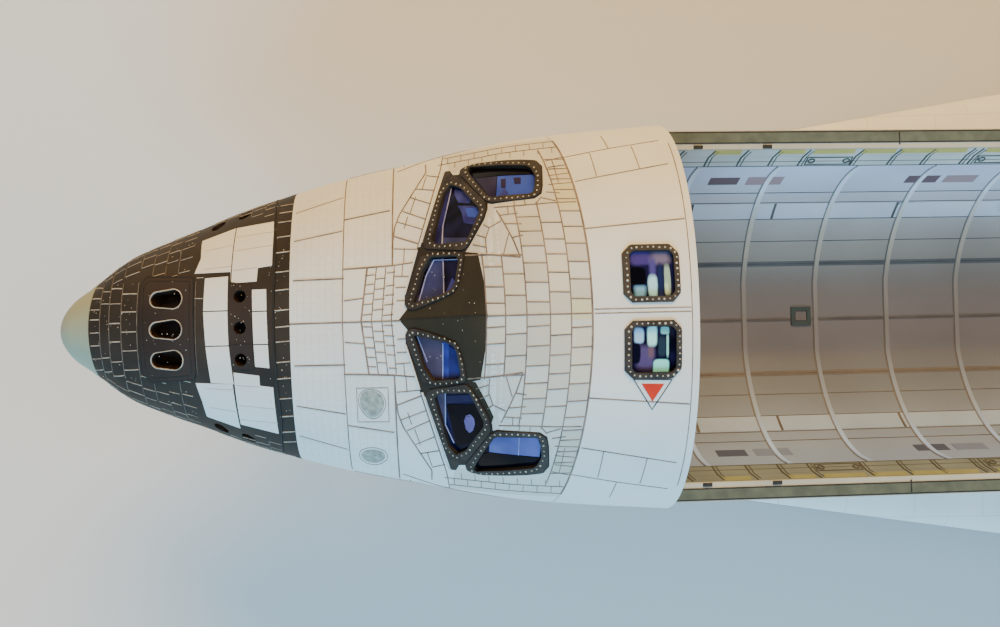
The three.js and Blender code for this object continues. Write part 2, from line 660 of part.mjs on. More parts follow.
// Pods: hollow shells that sit on the shoulders of the tail, each with its nozzle.
function podRing([station, buttline, waterline, half, high], inset) {
  const ring = [];
  for (let i = 0; i < POD_SIDES; i += 1) {
    const angle = (2 * Math.PI * i) / POD_SIDES;
    const c = Math.cos(angle);
    const s = Math.sin(angle);
    const across = (half - inset) * Math.sign(c) * Math.abs(c) ** (2 / POD_POWER);
    const up = (high - inset) * Math.sign(s) * Math.abs(s) ** (2 / POD_POWER);
    ring.push([station, buttline + across, waterline + up]);
  }
  return ring;
}
const shoulder = tailSolid(TAIL[0][0], BASE_STATION + GAP, -GAP);
const podHollow = POD.slice(1, -1).map((row) => podRing(row, THIN_WALL + 1));
const podStand = engineMatrix(
  POD_NOZZLE.station, POD_NOZZLE.buttline, POD_NOZZLE.waterline, POD_NOZZLE.pitch, POD_NOZZLE.cant,
);
const podThroat = POD_BELL[0][1] + BELL_CLEAR;
const podRoom = bellRoom(POD_BELL, [[0, POD_ROOM_START], [podThroat, POD_ROOM_START]], 18);
const pod = loft(POD.map((row) => podRing(row, 0)))
  .subtract(loft(podHollow))
  .subtract(shoulder)
  .subtract(solid(podRoom.applyMatrix4(podStand)));
addPair('oms_pod', pod, WHITE_CARD);
addPair('oms_nozzle', solid(bell(POD_BELL, POD_BELL_WALL, 18).applyMatrix4(podStand)), BELL_METAL);

// Wing: sections between the leading edge and the hinge line, flat below behind the thickest point.
const rearEdge = (buttline) => WING.rearRoot - WING.rearSweep * buttline;
const lift = (buttline) => WING.keel + (buttline - WING.root) * Math.tan(WING.dihedral);
// Thickness along the chord, as a share of the greatest one: the classic four-digit polynomial.
function airfoil(s) {
  return 10 * (0.2969 * Math.sqrt(s) - 0.126 * s - 0.3516 * s ** 2 + 0.2843 * s ** 3 - 0.1015 * s ** 4);
}
function wingHeights(station, [buttline, front, thick, shift]) {
  const s = Math.max(0, (station - front) / (rearEdge(buttline) - front)) ** shift;
  const depth = thick * Math.min(1, airfoil(s));
  const bow = s < THICKEST ? NOSE_LIFT * (thick - depth) : 0;
  return [lift(buttline) + bow, lift(buttline) + bow + depth];
}
function wingRing(section, front, rear, skin = 0) {
  const steps = 9;
  const upper = [];
  const lower = [];
  for (let i = 0; i <= steps; i += 1) {
    const t = 1 - Math.cos((Math.PI / 2) * (i / steps));
    const station = front + (rear - front) * t;
    const [low, high] = wingHeights(station, section);
    if (i > 0 || skin) lower.push([station, section[0], low + skin]);
    upper.push([station, section[0], high - skin]);
  }
  return [...upper.reverse(), ...lower];
}
const wingSolid = loft(WING_SECTIONS.map((row) => wingRing(row, row[1], WING.hinge)));
const wingHollow = loft(WING_HOLLOW.map(([buttline, front]) => {
  const row = [buttline, ...[1, 2, 3].map((at) => column(WING_SECTIONS, buttline, at))];
  return wingRing(row, front, WING_HOLLOW_REAR, WING_SKIN);
}));

// Hinge frame of the wing: along the span, aft, and square to both.
const hingeRadius = (span) => HINGE_RADIUS.root + HINGE_RADIUS.slope * (span - HINGE_RADIUS.at);
function hingePoint(span, aft, up) {
  const tilt = WING.dihedral;
  const along = (span - WING.root) / Math.cos(tilt);
  const height = WING.keel + HINGE_RADIUS.root;
  return [
    WING.hinge + aft,
    WING.root + along * Math.cos(tilt) - up * Math.sin(tilt),
    height + along * Math.sin(tilt) + up * Math.cos(tilt),
  ];
}
function arc(radius, from, to, steps) {
  return Array.from({ length: steps + 1 }, (_, i) => {
    const a = (from + ((to - from) * i) / steps) * DEG;
    return [radius * Math.cos(a), radius * Math.sin(a)];
  });
}
// Section of the room for a hinged surface: round in front of its axis, open behind it for the swing.
function coveSection(radius, up, down) {
  const round = arc(radius, 90 + up + COVE.spare, 270 - down - COVE.spare, COVE.steps);
  const [first] = round[0];
  const [last] = round[round.length - 1];
  return [
    [COVE.rear, COVE.high], [first, COVE.high], ...round, [last, -COVE.high], [COVE.rear, -COVE.high],
  ];
}
const cove = loft(COVE.span.map((span) => {
  const section = coveSection(hingeRadius(span) + HINGE_CLEAR, ELEVON_SWING.up, ELEVON_SWING.down);
  return section.map(([aft, up]) => hingePoint(span, aft, up));
}));

const wellLow = [MAIN_WELL.front, MAIN_WELL.inner, WELL_LOW];
const wellHigh = [MAIN_WELL.rear, MAIN_WELL.outer, MAIN_WELL.roof + MAIN_WELL.wall];
const edgeRoom = EDGE_BAND.map(([x, y], i) => {
  if (i <= 1) return [x - GAP, y - i * GAP];
  return i <= 4 ? [x + GAP, y - GAP] : [x, y];
});
const wing = wingSolid
  .subtract(wingHollow)
  .subtract(cove)
  .subtract(box(wellLow, wellHigh))
  .subtract(planPrism(edgeRoom, PLAN_LOW, PLAN_HIGH));
addPair('wing', wing, WHITE_CARD);
const edge = wingSolid.intersect(planPrism(EDGE_BAND, PLAN_LOW, PLAN_HIGH)).subtract(cove);
addPair('wing_leading_edge', edge, EDGE_CARD);

// Elevons: round nosed wedges on the hinge line, with ends square to it.
function wedgeSection(radius, chord, trail, rise) {
  return [...arc(radius, 90, 270, 8), [chord, rise - trail / 2], [chord, rise + trail / 2]];
}
function elevonRing(span, wall) {
  const radius = hingeRadius(span);
  const reach = wall ? ELEVON_HOLLOW.reach : 1;
  const chord = (rearEdge(span) - WING.hinge) * reach;
  const trail = ELEVON_TRAIL * reach + 2 * radius * (1 - reach);
  const section = wedgeSection(radius - wall, chord, trail - 2 * wall, -ELEVON_DROOP * radius * reach);
  return section.map(([aft, up]) => hingePoint(span, aft, up));
}
// Each is a hollow fold of card, open at its inner end.
ELEVONS.forEach(([name, inner, outer]) => {
  const ends = [inner, outer];
  const body = loft(ends.map((span) => elevonRing(span, 0)));
  const hollow = loft(ends.map((span) => elevonRing(span - ELEVON_HOLLOW.shift, THIN_WALL)));
  addPair(`elevon_${name}`, body.subtract(hollow), WHITE_CARD);
});

// Body flap between the elevons.
const flapSection = wedgeSection(BODY_FLAP.radius, BODY_FLAP.reach, BODY_FLAP.trail, -BODY_FLAP.droop);
const flapOutline = flapSection.map(([aft, up]) => [BODY_FLAP.hinge + aft, BODY_FLAP.height + up]);
addPiece('body_flap', crossPrism(flapOutline, -BODY_FLAP.half, BODY_FLAP.half), BELLY_CARD);

// Fin: thin sections stacked from foot to tip, with a cut-out for the rudder.
function finAt(waterline, foot, tip) {
  return foot + ((waterline - FIN.foot) / (FIN.tip - FIN.foot)) * (tip - foot);
}
function finChord(waterline) {
  return finAt(waterline, FIN.rearFoot - FIN.noseFoot, FIN.rearTip - FIN.noseTip);
}
function finRing(waterline, inset = 0, front = 0, rear = 0) {
  const nose = finAt(waterline, FIN.noseFoot, FIN.noseTip) + front;
  const end = finAt(waterline, FIN.rearFoot, FIN.rearTip) - rear;
  const half = (finChord(waterline) * FIN.thick) / 2 - inset;
  const side = FIN_SECTION.map(([t, k]) => [nose + (end - nose) * t, k * half, waterline]);
  return [...side, ...side.map(([x, y, z]) => [x, -y, z]).reverse()];
}
const rudderTrail = (waterline) => finAt(waterline, FIN.rearFoot, FIN.rearTip);
function rudderHinge(waterline) {
  const t = (waterline - RUDDER.low) / (RUDDER.high - RUDDER.low);
  return rudderTrail(waterline) - (RUDDER.chordLow + t * (RUDDER.chordHigh - RUDDER.chordLow));
}
// The rudder's sections are square to its hinge, so that its ends clear the fin as it swings.
const hingeFoot = new THREE.Vector3(rudderHinge(RUDDER.low), 0, RUDDER.low);
const hingeHead = new THREE.Vector3(rudderHinge(RUDDER.high), 0, RUDDER.high);
const hingeAxis = hingeHead.clone().sub(hingeFoot).normalize();
const hingeAft = new THREE.Vector3(hingeAxis.z, 0, -hingeAxis.x);
const hingeLength = hingeFoot.distanceTo(hingeHead);
function rudderPoint(along, aft, side) {
  const p = hingeFoot.clone().addScaledVector(hingeAxis, along).addScaledVector(hingeAft, aft);
  return [p.x, side, p.z];
}
const endSlant = hingeAxis.x / hingeAxis.z;
function rudderRings(from, to, section) {
  return [from, to].map((along) => section(along).map(([aft, side]) => rudderPoint(along, aft, side)));
}
const heightAlong = (along) => RUDDER.low + along * hingeAxis.z;
const radiusAlong = (along) => finChord(heightAlong(along)) * FIN.thick * RUDDER_NOSE;
function reachAlong(along) {
  const z = heightAlong(along);
  return (rudderTrail(z) - rudderHinge(z)) * hingeAxis.z * RUDDER_REACH;
}
// The rudder ends this far inside its cut-out at the foot and the head.
const RUDDER_ENDS = { foot: 6, head: 3 };
const rudder = loft(rudderRings(RUDDER_ENDS.foot, hingeLength - RUDDER_ENDS.head, (along) => (
  wedgeSection(radiusAlong(along), reachAlong(along), RUDDER.trail, 0)
)));
const coveEnds = [-RUDDER_ENDS.foot * endSlant, hingeLength + 2 * RUDDER_ENDS.head];
const finCove = loft(rudderRings(...coveEnds, (along) => (
  coveSection(radiusAlong(along) + HINGE_CLEAR, RUDDER.swing, RUDDER.swing)
)));
const chute = loft(CHUTE.map(([station, half, high]) => {
  const ring = [];
  for (let i = 0; i < CHUTE_SIDES; i += 1) {
    const a = (2 * Math.PI * i) / CHUTE_SIDES;
    ring.push([station, half * Math.cos(a), CHUTE_HEIGHT + high * Math.sin(a)]);
  }
  return ring;
}));
const finHollow = loft(FIN_HOLLOW.map(([waterline, ...ends]) => finRing(waterline, THIN_WALL, ...ends)));
const fin = loft([finRing(FIN.foot), finRing(FIN.tip)])
  .subtract(finHollow)
  .add(chute.subtract(finHollow))
  .subtract(shoulder)
  .subtract(engineRooms[0])
  .subtract(finCove);
addPiece('fin', fin, WHITE_CARD);
addPiece('rudder', rudder, WHITE_CARD);

// Wheel wells: boxes that are open below. The room inside one, from its outer corners.
function wellRoom([front, inner], [rear, outer], roof, wall) {
  return box([front + wall, inner + wall, WELL_LOW], [rear - wall, outer - wall, roof - wall]);
}
const noseWellLow = [noseWellFront + GAP, -noseWellHalf + GAP];
const noseWellHigh = [noseWellRear - GAP, noseWellHalf - GAP];
const noseWellTop = noseWellRoof - GAP;
const noseWellRoom = wellRoom(noseWellLow, noseWellHigh, noseWellTop, NOSE_WELL.wall);
const noseWell = crossPrism([
  [noseWellLow[0], NOSE_WELL.frontRim], [noseWellHigh[0], NOSE_WELL.rearRim],
  [noseWellHigh[0], noseWellTop], [noseWellLow[0], noseWellTop],
], noseWellLow[1], noseWellHigh[1]);
addPiece('nose_wheel_well', noseWell.subtract(noseWellRoom), BULKHEAD_CARD);

const mainWellLow = [MAIN_WELL.front + GAP, MAIN_WELL.inner + GAP];
const mainWellHigh = [MAIN_WELL.rear - GAP, MAIN_WELL.outer - GAP];
const mainWellTop = MAIN_WELL.roof + MAIN_WELL.wall - GAP;
const mainWell = box([...mainWellLow, MAIN_WELL.rim], [...mainWellHigh, mainWellTop])
  .subtract(wellRoom(mainWellLow, mainWellHigh, mainWellTop, MAIN_WELL.wall));
addPair('main_wheel_well', mainWell, BULKHEAD_CARD);

// Gear doors hang open beside the wells.
const noseDoorEnds = [
  [noseWellFront + NOSE_DOOR.inset, NOSE_DOOR.frontTop],
  [noseWellRear - NOSE_DOOR.inset, NOSE_DOOR.rearTop],
];
const noseDoorLow = noseDoorEnds.map(([x, z]) => [x, z - NOSE_DOOR.drop]);
const noseDoorOutline = [...noseDoorLow, ...[...noseDoorEnds].reverse()];
const noseDoorSide = noseWellHalf + NOSE_DOOR.gap;
addPair('nose_gear_door', crossPrism(noseDoorOutline, noseDoorSide, noseDoorSide + DOOR_PLY), BELLY_CARD);
const mainDoor = box(
  [MAIN_WELL.front + MAIN_DOOR.inset, MAIN_WELL.outer, MAIN_DOOR.bottom],
  [MAIN_WELL.rear - MAIN_DOOR.inset, MAIN_WELL.outer + DOOR_PLY, MAIN_DOOR.top],
);
addPair('main_gear_door', mainDoor, BELLY_CARD);

// Gear: a leg with a brace and an axle sleeve, twin wheels on one axle, and their tyres.
function leg(gear) {
  const axle = GROUND + gear.tyre;
  const at = (height, across = 0) => [gear.x, gear.y + across, height];
  const thick = rod(at(axle + LEG.thickFrom), at(gear.top), gear.leg, 14);
  const piston = rod(at(axle), at(axle + LEG.thickFrom + LEG.overlap), gear.leg * LEG.pistonShare, 14);
  const sleeve = rod(at(axle, -gear.sleeve), at(axle, gear.sleeve), gear.axle + SLEEVE_WALL, 14);
  const brace = rod(at(axle + LEG.braceFrom), gear.braceTo, gear.leg * LEG.braceShare, 8);
  const bore = rod(at(axle, -2 * gear.sleeve), at(axle, 2 * gear.sleeve), gear.axle + BORE_CLEAR, 16);
  return joined([thick, piston, sleeve, brace]).subtract(bore);
}
addPiece('nose_strut', leg(NOSE_GEAR), LEG_CARD);
addPair('main_strut', leg(MAIN_GEAR), LEG_CARD);

function wheelSet(gear) {
  const half = gear.width / 2;
  const inner = gear.twin - half;
  const outer = gear.twin + half;
  const discProfile = [
    [0, inner + DISC.innerFace],
    [gear.axle + DISC.collar, inner + DISC.innerFace],
    [gear.hub, inner + DISC.innerBevel],
    [gear.hub, outer - DISC.outerBevel],
    [gear.hub * DISC.dishShare, outer - DISC.dishDepth],
    [gear.axle + DISC.boss, outer - DISC.outerFace],
    [0, outer - DISC.outerFace],
  ];
  const axle = solid(new THREE.CylinderGeometry(gear.axle, gear.axle, 2 * inner + 4, 16));
  const mirror = new THREE.Matrix4().makeScale(1, -1, 1);
  const disc = turned(discProfile, 14);
  return joined([axle, solid(disc), solid(disc.clone().applyMatrix4(mirror))]);
}
function tyre(gear) {
  const half = gear.width / 2;
  const hole = gear.hub + GAP;
  const side = TYRE_SECTION.map(([r, w]) => [gear.tyre * r, half * w]);
  const profile = [
    [hole, -half * BEAD_WIDTH],
    ...side.map(([r, w]) => [r, -w]),
    ...[...side].reverse(),
    [hole, half * BEAD_WIDTH],
    [hole, -half * BEAD_WIDTH],
  ];
  return solid(turned(profile, 18));
}
function addWheels(gear, side, prefix, suffix) {
  const height = GROUND + gear.tyre;
  const put = (mesh, across) => mesh.position.set(gear.x, side * gear.y + across, height);
  put(addPiece(`${prefix}_hubs${suffix}`, wheelSet(gear), HUB_CARD), 0);
  const names = gear.y ? ['outer', 'inner'] : ['starboard', 'port'];
  const outward = gear.y ? side : 1;
  put(addPiece(`${prefix}_tyre_${names[0]}${suffix}`, tyre(gear), TYRE_CARD), outward * gear.twin);
  put(addPiece(`${prefix}_tyre_${names[1]}${suffix}`, tyre(gear), TYRE_CARD), -outward * gear.twin);
}
addWheels(NOSE_GEAR, 1, 'nose', '');
addWheels(MAIN_GEAR, 1, 'main', '_starboard');
addWheels(MAIN_GEAR, -1, 'main', '_port');

export default craft;
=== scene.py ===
import math
import random

import bmesh
import bpy
import numpy as np
from mathutils import Matrix, Vector
from mathutils.geometry import tessellate_polygon


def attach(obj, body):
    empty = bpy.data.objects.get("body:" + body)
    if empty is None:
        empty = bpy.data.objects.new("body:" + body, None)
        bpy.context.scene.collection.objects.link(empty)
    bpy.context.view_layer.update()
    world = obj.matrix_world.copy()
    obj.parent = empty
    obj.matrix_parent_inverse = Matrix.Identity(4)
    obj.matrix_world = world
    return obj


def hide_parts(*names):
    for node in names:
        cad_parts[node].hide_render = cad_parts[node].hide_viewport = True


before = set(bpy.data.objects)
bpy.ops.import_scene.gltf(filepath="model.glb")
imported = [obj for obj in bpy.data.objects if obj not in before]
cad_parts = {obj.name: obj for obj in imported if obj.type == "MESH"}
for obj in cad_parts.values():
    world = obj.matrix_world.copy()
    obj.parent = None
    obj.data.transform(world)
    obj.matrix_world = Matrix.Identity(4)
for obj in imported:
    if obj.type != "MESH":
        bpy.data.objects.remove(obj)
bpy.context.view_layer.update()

INCH = 0.0254 / 100
MID_STATION = 969.0
GROUND = 136.0
SIDES = {"starboard": 1, "port": -1}

# Camera of the photograph: frame width, focal length in its pixels, place, and turns about X, Y and Z.
PHOTO_WIDTH = 1000
FOCAL_PIXELS = 1129.2
CAMERA_PLACE = (448.0, -16.9, 1033.6)
CAMERA_TURNS = (1.95, -4.3, -1.28)
SENSOR_MM = 36.0

# Fuselage sections: station, half width, bottom, waterline of the widest point, power of the lower half.
HULL = np.array([
    (236, 3.5, 331.5, 335, 2.0),
    (240, 12.5, 323, 335.5, 2.0),
    (246, 18.5, 317.5, 336, 2.0),
    (258, 26.5, 311, 337.5, 2.1),
    (280, 42, 301.5, 341, 2.25),
    (300, 50.5, 296, 344, 2.3),
    (322, 58.5, 291.5, 347, 2.45),
    (350, 69, 287, 351, 2.7),
    (378, 77.5, 284, 355, 3.0),
    (410, 85.5, 281.5, 362, 3.5),
    (444, 91.5, 280, 372, 4.0),
    (480, 97.5, 279, 384, 5.0),
    (510, 101.2, 279, 391, 6.5),
    (536, 103.5, 279, 396, 8.0),
    (584, 107, 279, 401, 10.0),
])
# Crown line: station, waterline, power of the upper half.
CROWN = np.array([
    (236, 338.5, 2.0),
    (240, 348, 2.0),
    (246, 354.5, 2.0),
    (258, 363, 2.0),
    (280, 377, 2.0),
    (300, 387, 2.0),
    (322, 397, 2.01),
    (350, 408, 2.03),
    (378, 418, 2.05),
    (410, 431, 2.07),
    (441, 444, 2.1),
    (460, 464, 2.17),
    (478, 484, 2.23),
    (492, 490.5, 2.28),
    (510, 496, 2.27),
    (536, 499.5, 2.22),
    (560, 501.5, 2.16),
    (584, 503, 2.1),
])
# How far the crown line is carried aft for each inch of buttline.
BOW = np.array([(236, 0), (380, 0), (441, 0.24), (500, 0.24), (560, 0), (584, 0)])
# The nose cap is a round tip in front of this station.
TIP_STATION = 236
TIP_REAR = 246
TIP_HEIGHT = 335

CAP_SEAM = 258
NOSE_SEAM = 378.5
CABIN_RIM = 584
SEAM_GAP = 0.4
# The seam behind the tiles is bowed: station on the centre line,
# and how far it moves forward with the buttline squared.
TILE_SEAM = 533
TILE_BOW = 0.0012
# Lower edge of the white card on the side of the fuselage: station, waterline.
BELLY_EDGE = np.array([(372, 330), (410, 318), (450, 311), (520, 306), (584, 303)])

# Window panes in plan, starboard side, the rings round them,
# and the dark card round all three: station, buttline.
PANES = [
    [(447.8, 8.2), (463, 11.8), (467.6, 14), (469.2, 17), (471.3, 29), (470, 31), (457.2, 31.9), (452.8, 25)],
    [(458, 40.6), (461.5, 38.2), (475.4, 37.9), (482.4, 52.4), (482.2, 55.2), (473.8, 68.6), (469, 71.4),
     (465, 66.8)],
    [(478, 78.6), (480.2, 73.5), (486.6, 61.4), (488.6, 60), (507.4, 60.2), (509, 61.8), (510.4, 70),
     (508.8, 74.8), (506.6, 76.6), (479.2, 80.3)],
]
RINGS = [
    [(443.4, 8), (444.1, 11.2), (452.5, 32.9), (473, 32.4), (473.6, 30.2), (472, 22.6), (469.8, 15.4),
     (467.8, 12.2), (459.8, 8.7), (448.2, 4.7), (445.2, 5.3)],
    [(453.6, 40.5), (466.6, 80.3), (468.6, 80.3), (469.8, 77.3), (472.2, 75.6), (475.5, 72.7), (485.3, 58.5),
     (485.5, 54.4), (483.6, 49.1), (475.8, 35.8), (473.3, 33.5), (455, 36.6)],
    [(473.9, 77.2), (474.6, 79.8), (477.3, 81.2), (482, 82.1), (504.6, 80.5), (511.8, 79.3), (514, 76),
     (513, 65.3), (512, 60.6), (508.6, 58.3), (502.2, 57.6), (488.5, 57.1), (485.3, 59)],
]
WINDSHIELD = [
    (443.2, 8), (443.4, 12), (449.8, 36.4), (453.3, 40.8), (466.3, 80.5), (468.9, 80.9), (470.4, 77.6),
    (473.5, 77.3), (474.3, 80.2), (477.2, 81.6), (482, 82.5), (504.8, 80.9), (512, 79.7), (514.4, 76),
    (513.4, 65), (512.3, 60.3), (508.7, 57.9), (488.5, 56.7), (486.2, 57.5), (485.9, 54.2), (484, 48.8),
    (476.2, 35.4), (474.4, 33), (474, 30), (472.4, 22.4), (470.2, 15), (468, 11.8), (460, 8.3), (448.4, 4.3),
    (444.8, 5),
]
OVERHEAD = [
    (552, 4.3), (571.5, 4.3), (575.2, 8.5), (575.2, 27.5), (571, 32.2), (552, 32.2), (547.8, 28),
    (547.8, 8.5),
]
OVERHEAD_PANE = [
    (553, 7.2), (570.6, 7.2), (572.6, 9.4), (572.6, 27), (570.6, 29.3), (553.4, 29.3), (551.4, 27.2),
    (551.4, 9.4),
]


# Smooth curve through one column of a table.
def along(rows, at, x):
    xs, ys = rows[:, 0], rows[:, at]
    step = np.diff(xs)
    rise = np.diff(ys) / step
    slope = np.zeros(len(xs))
    slope[0], slope[-1] = rise[0], rise[-1]
    same = rise[:-1] * rise[1:] > 0
    safe = np.where(same, rise[:-1] + rise[1:], 1.0)
    slope[1:-1] = np.where(same, 2 * rise[:-1] * rise[1:] / safe, 0.0)
    x = np.clip(np.asarray(x, float), xs[0], xs[-1])
    k = np.clip(np.searchsorted(xs, x, side="right") - 1, 0, len(xs) - 2)
    h = step[k]
    t = (x - xs[k]) / h
    left = (1 + 2 * t) * (1 - t) ** 2 * ys[k] + t * (1 - t) ** 2 * h * slope[k]
    right = t * t * (3 - 2 * t) * ys[k + 1] + t * t * (t - 1) * h * slope[k + 1]
    return left + right


# Full-size inches to the frame's metres.
def place(points):
    points = np.asarray(points, float).reshape(-1, 3)
    return (points - (MID_STATION, 0, GROUND)) * INCH


# The two flat coordinates of points, each as one array.
def columns(points):
    return np.asarray(points, float).reshape(-1, 2).T


# Shares of the half width and the half height at a turn round an oval of a given power.
def oval(turn, power):
    across, up = np.sin(turn), np.cos(turn)
    reach = (np.abs(up) ** power + np.abs(across) ** power) ** (-1 / power)
    return reach * across, reach * up


# Point of the fuselage skin, in inches. The turn is 0 at the
# crown, pi / 2 at the widest point and pi at the keel.
def hull(station, turn):
    base = np.maximum(station, TIP_REAR)
    widest = along(HULL, 3, base)
    upper = np.cos(turn) >= 0
    sideways, upward = oval(turn, np.where(upper, along(CROWN, 2, base), along(HULL, 4, base)))
    across = along(HULL, 1, base) * sideways
    source = base - along(BOW, 1, base) * np.abs(across)
    rise = np.where(upper, along(CROWN, 1, source) - widest, widest - along(HULL, 2, base))
    share = np.sqrt(np.clip((station - TIP_STATION) / (TIP_REAR - TIP_STATION), 0, 1))
    return np.stack([station, across * share, TIP_HEIGHT + (widest + rise * upward - TIP_HEIGHT) * share],
                    axis=-1)


# A surface from a function of two flat coordinates, moved out
# along its normal; the side says which way is out.
def sheet(place_at, side=1, steps=(0.05, 0.05)):
    def surface(flat, proud=0.0):
        first, second = columns(flat)
        ahead = place_at(first + steps[0], second) - place_at(first - steps[0], second)
        beside = place_at(first, second + steps[1]) - place_at(first, second - steps[1])
        normal = np.cross(ahead, beside)
        normal /= np.maximum(np.linalg.norm(normal, axis=1, keepdims=True), 1e-9)
        return place_at(first, second) + normal * proud * side
    return surface


skin = sheet(hull, steps=(0.05, 0.002))


# Station and buttline, as seen from above, to station and turn.
def from_plan(points):
    station, buttline = columns(points)
    power = along(CROWN, 2, station)
    s = np.clip(np.abs(buttline) / along(HULL, 1, station), 0, 1)
    return np.stack([station, np.sign(buttline) * np.arctan2(s, (1 - s ** power) ** (1 / power))], axis=-1)


# Station and waterline on one side to station and turn.
def from_side(points, side):
    station, waterline = columns(points)
    widest = along(HULL, 3, station)
    upper = waterline >= widest
    power = np.where(upper, along(CROWN, 2, station), along(HULL, 4, station))
    rise = np.where(upper, along(CROWN, 1, station) - widest, widest - along(HULL, 2, station))
    c = np.clip((waterline - widest) / rise, -1, 1)
    return np.stack([station, side * np.arctan2((1 - np.abs(c) ** power) ** (1 / power), c)], axis=-1)


# Outline with extra points, so that no step is longer than the given one.
def fine(points, step, closed=False):
    points = [tuple(p) for p in points]
    ends = points[1:] + points[:1] if closed else points[1:]
    out = []
    for a, b in zip(points, ends):
        count = max(1, math.ceil(math.dist(a, b) / step))
        out += [tuple(a[k] + (b[k] - a[k]) * i / count for k in range(len(a))) for i in range(count)]
    return out if closed else out + [points[-1]]


# Station and buttline of an outline or path to fine steps of station and turn.
def plan(points, closed=True, step=3.0):
    return from_plan(fine(points, step, closed))


def area_of(outline):
    ends = outline[1:] + outline[:1]
    return sum(a[0] * b[1] - b[0] * a[1] for a, b in zip(outline, ends)) / 2


# Convex outline moved out by a distance.
def grown(outline, distance):
    side = math.copysign(1, area_of(outline))
    lines = []
    for (ax, ay), (bx, by) in zip(outline, outline[1:] + outline[:1]):
        length = math.dist((ax, ay), (bx, by))
        nx, ny = (by - ay) / length * side, -(bx - ax) / length * side
        lines.append((nx, ny, nx * ax + ny * ay + distance))
    out = []
    for (ax, ay, ad), (bx, by, bd) in zip(lines[-1:] + lines[:-1], lines):
        det = ax * by - ay * bx
        out.append(((ad * by - bd * ay) / det, (ax * bd - bx * ad) / det))
    return out


# Outline with its corners rounded off.
def rounded(outline, radius, steps=5):
    out = []
    size = len(outline)
    for i in range(size):
        before, corner, after = (Vector(outline[(i + k) % size]) for k in (-1, 0, 1))
        a, b = before - corner, after - corner
        cut_a = corner + a.normalized() * min(radius, a.length * 0.48)
        cut_b = corner + b.normalized() * min(radius, b.length * 0.48)
        for k in range(steps + 1):
            t = k / steps
            out.append(tuple(cut_a * (1 - t) ** 2 + corner * 2 * t * (1 - t) + cut_b * t * t))
    return out


def mirrored(points):
    return [(p[0], -p[1]) for p in points]


def arc(radius, start, end, steps):
    turns = np.radians(np.linspace(start, end, steps + 1))
    return [(radius * math.cos(a), radius * math.sin(a)) for a in turns]


def circle(x, y, radius, count=24):
    return [(x + a, y + b) for a, b in arc(radius, 0, 360, count)[:-1]]


def rectangle(front, rear, low, high):
    return [(front, low), (rear, low), (rear, high), (front, high)]


def looped(outline):
    return outline + outline[:1]


def about(middle, half):
    return middle - half, middle + half


# Evenly spaced points round an outline.
def beads(outline, spacing):
    loop = outline + outline[:1]
    total = sum(math.dist(a, b) for a, b in zip(loop, loop[1:]))
    count = round(total / spacing)
    out, walked = [], 0.0
    for a, b in zip(loop, loop[1:]):
        length = math.dist(a, b)
        while len(out) < count and total * len(out) / count <= walked + length + 1e-9:
            t = (total * len(out) / count - walked) / max(length, 1e-9)
            out.append((a[0] + (b[0] - a[0]) * t, a[1] + (b[1] - a[1]) * t))
        walked += length
    return out


# A part is a pair: points in inches, and faces with the number of their material.
def painted(part, number):
    return part[0], [(face, number) for face, _ in part[1]]


def mirror(part):
    points, faces = part
    return np.asarray(points, float) * (1, -1, 1), [(face[::-1], number) for face, number in faces]


# Parts as they are for starboard, and mirrored for port.
def facing(parts, sign):
    return parts if sign > 0 else [mirror(part) for part in parts]


# Rings of matching points closed into a solid with flat ends.
def loft(rings, pick=None):
    size = len(rings[0])
    points = [p for ring in rings for p in ring]
    faces = []
    for k in range(len(rings) - 1):
        for i in range(size):
            j = (i + 1) % size
            number = pick(k, i) if pick else 0
            faces.append(([k * size + i, k * size + j, (k + 1) * size + j, (k + 1) * size + i], number))
    for k, order in ((0, -1), (len(rings) - 1, 1)):
        hub = len(points)
        points.append(np.mean(np.asarray(rings[k], float), axis=0))
        for i in range(size):
            a, b = k * size + i, k * size + (i + 1) % size
            faces.append(([a, b, hub][::order], pick(min(k, len(rings) - 2), i) if pick else 0))
    return np.array(points, float), faces


# Box over three ranges.
def block(xs, ys, zs):
    return loft([[(x, y, z) for y, z in rectangle(*ys, *zs)] for x in xs])


# Solid between two flat outlines of matching points. The pick turns the heights of a face's corners into
# its material. The flat outline is the one to split into triangles, where the first doesn't do.
def bridge(first, second, pick=lambda heights: 0, flat=None):
    size = len(first)
    points = [*first, *second]
    faces = [[i, (i + 1) % size, size + (i + 1) % size, size + i] for i in range(size)]
    for triangle in tessellate_polygon([[Vector(p) for p in flat or first]]):
        if len(set(triangle)) == 3:
            faces += [list(triangle), [i + size for i in triangle[::-1]]]
    return np.array(points, float), [(face, pick([points[i][2] for i in face])) for face in faces]


# Prism along the craft over an outline given as buttline, waterline.
def long_prism(outline, front, rear, pick=lambda heights: 0):
    ends = [[(x, y, z) for y, z in outline] for x in (front, rear)]
    return bridge(*ends, pick, [(y, z, 0) for y, z in outline])


def upright_prism(outline, low, high):
    return bridge(*[[(x, y, z) for x, y in outline] for z in (low, high)])


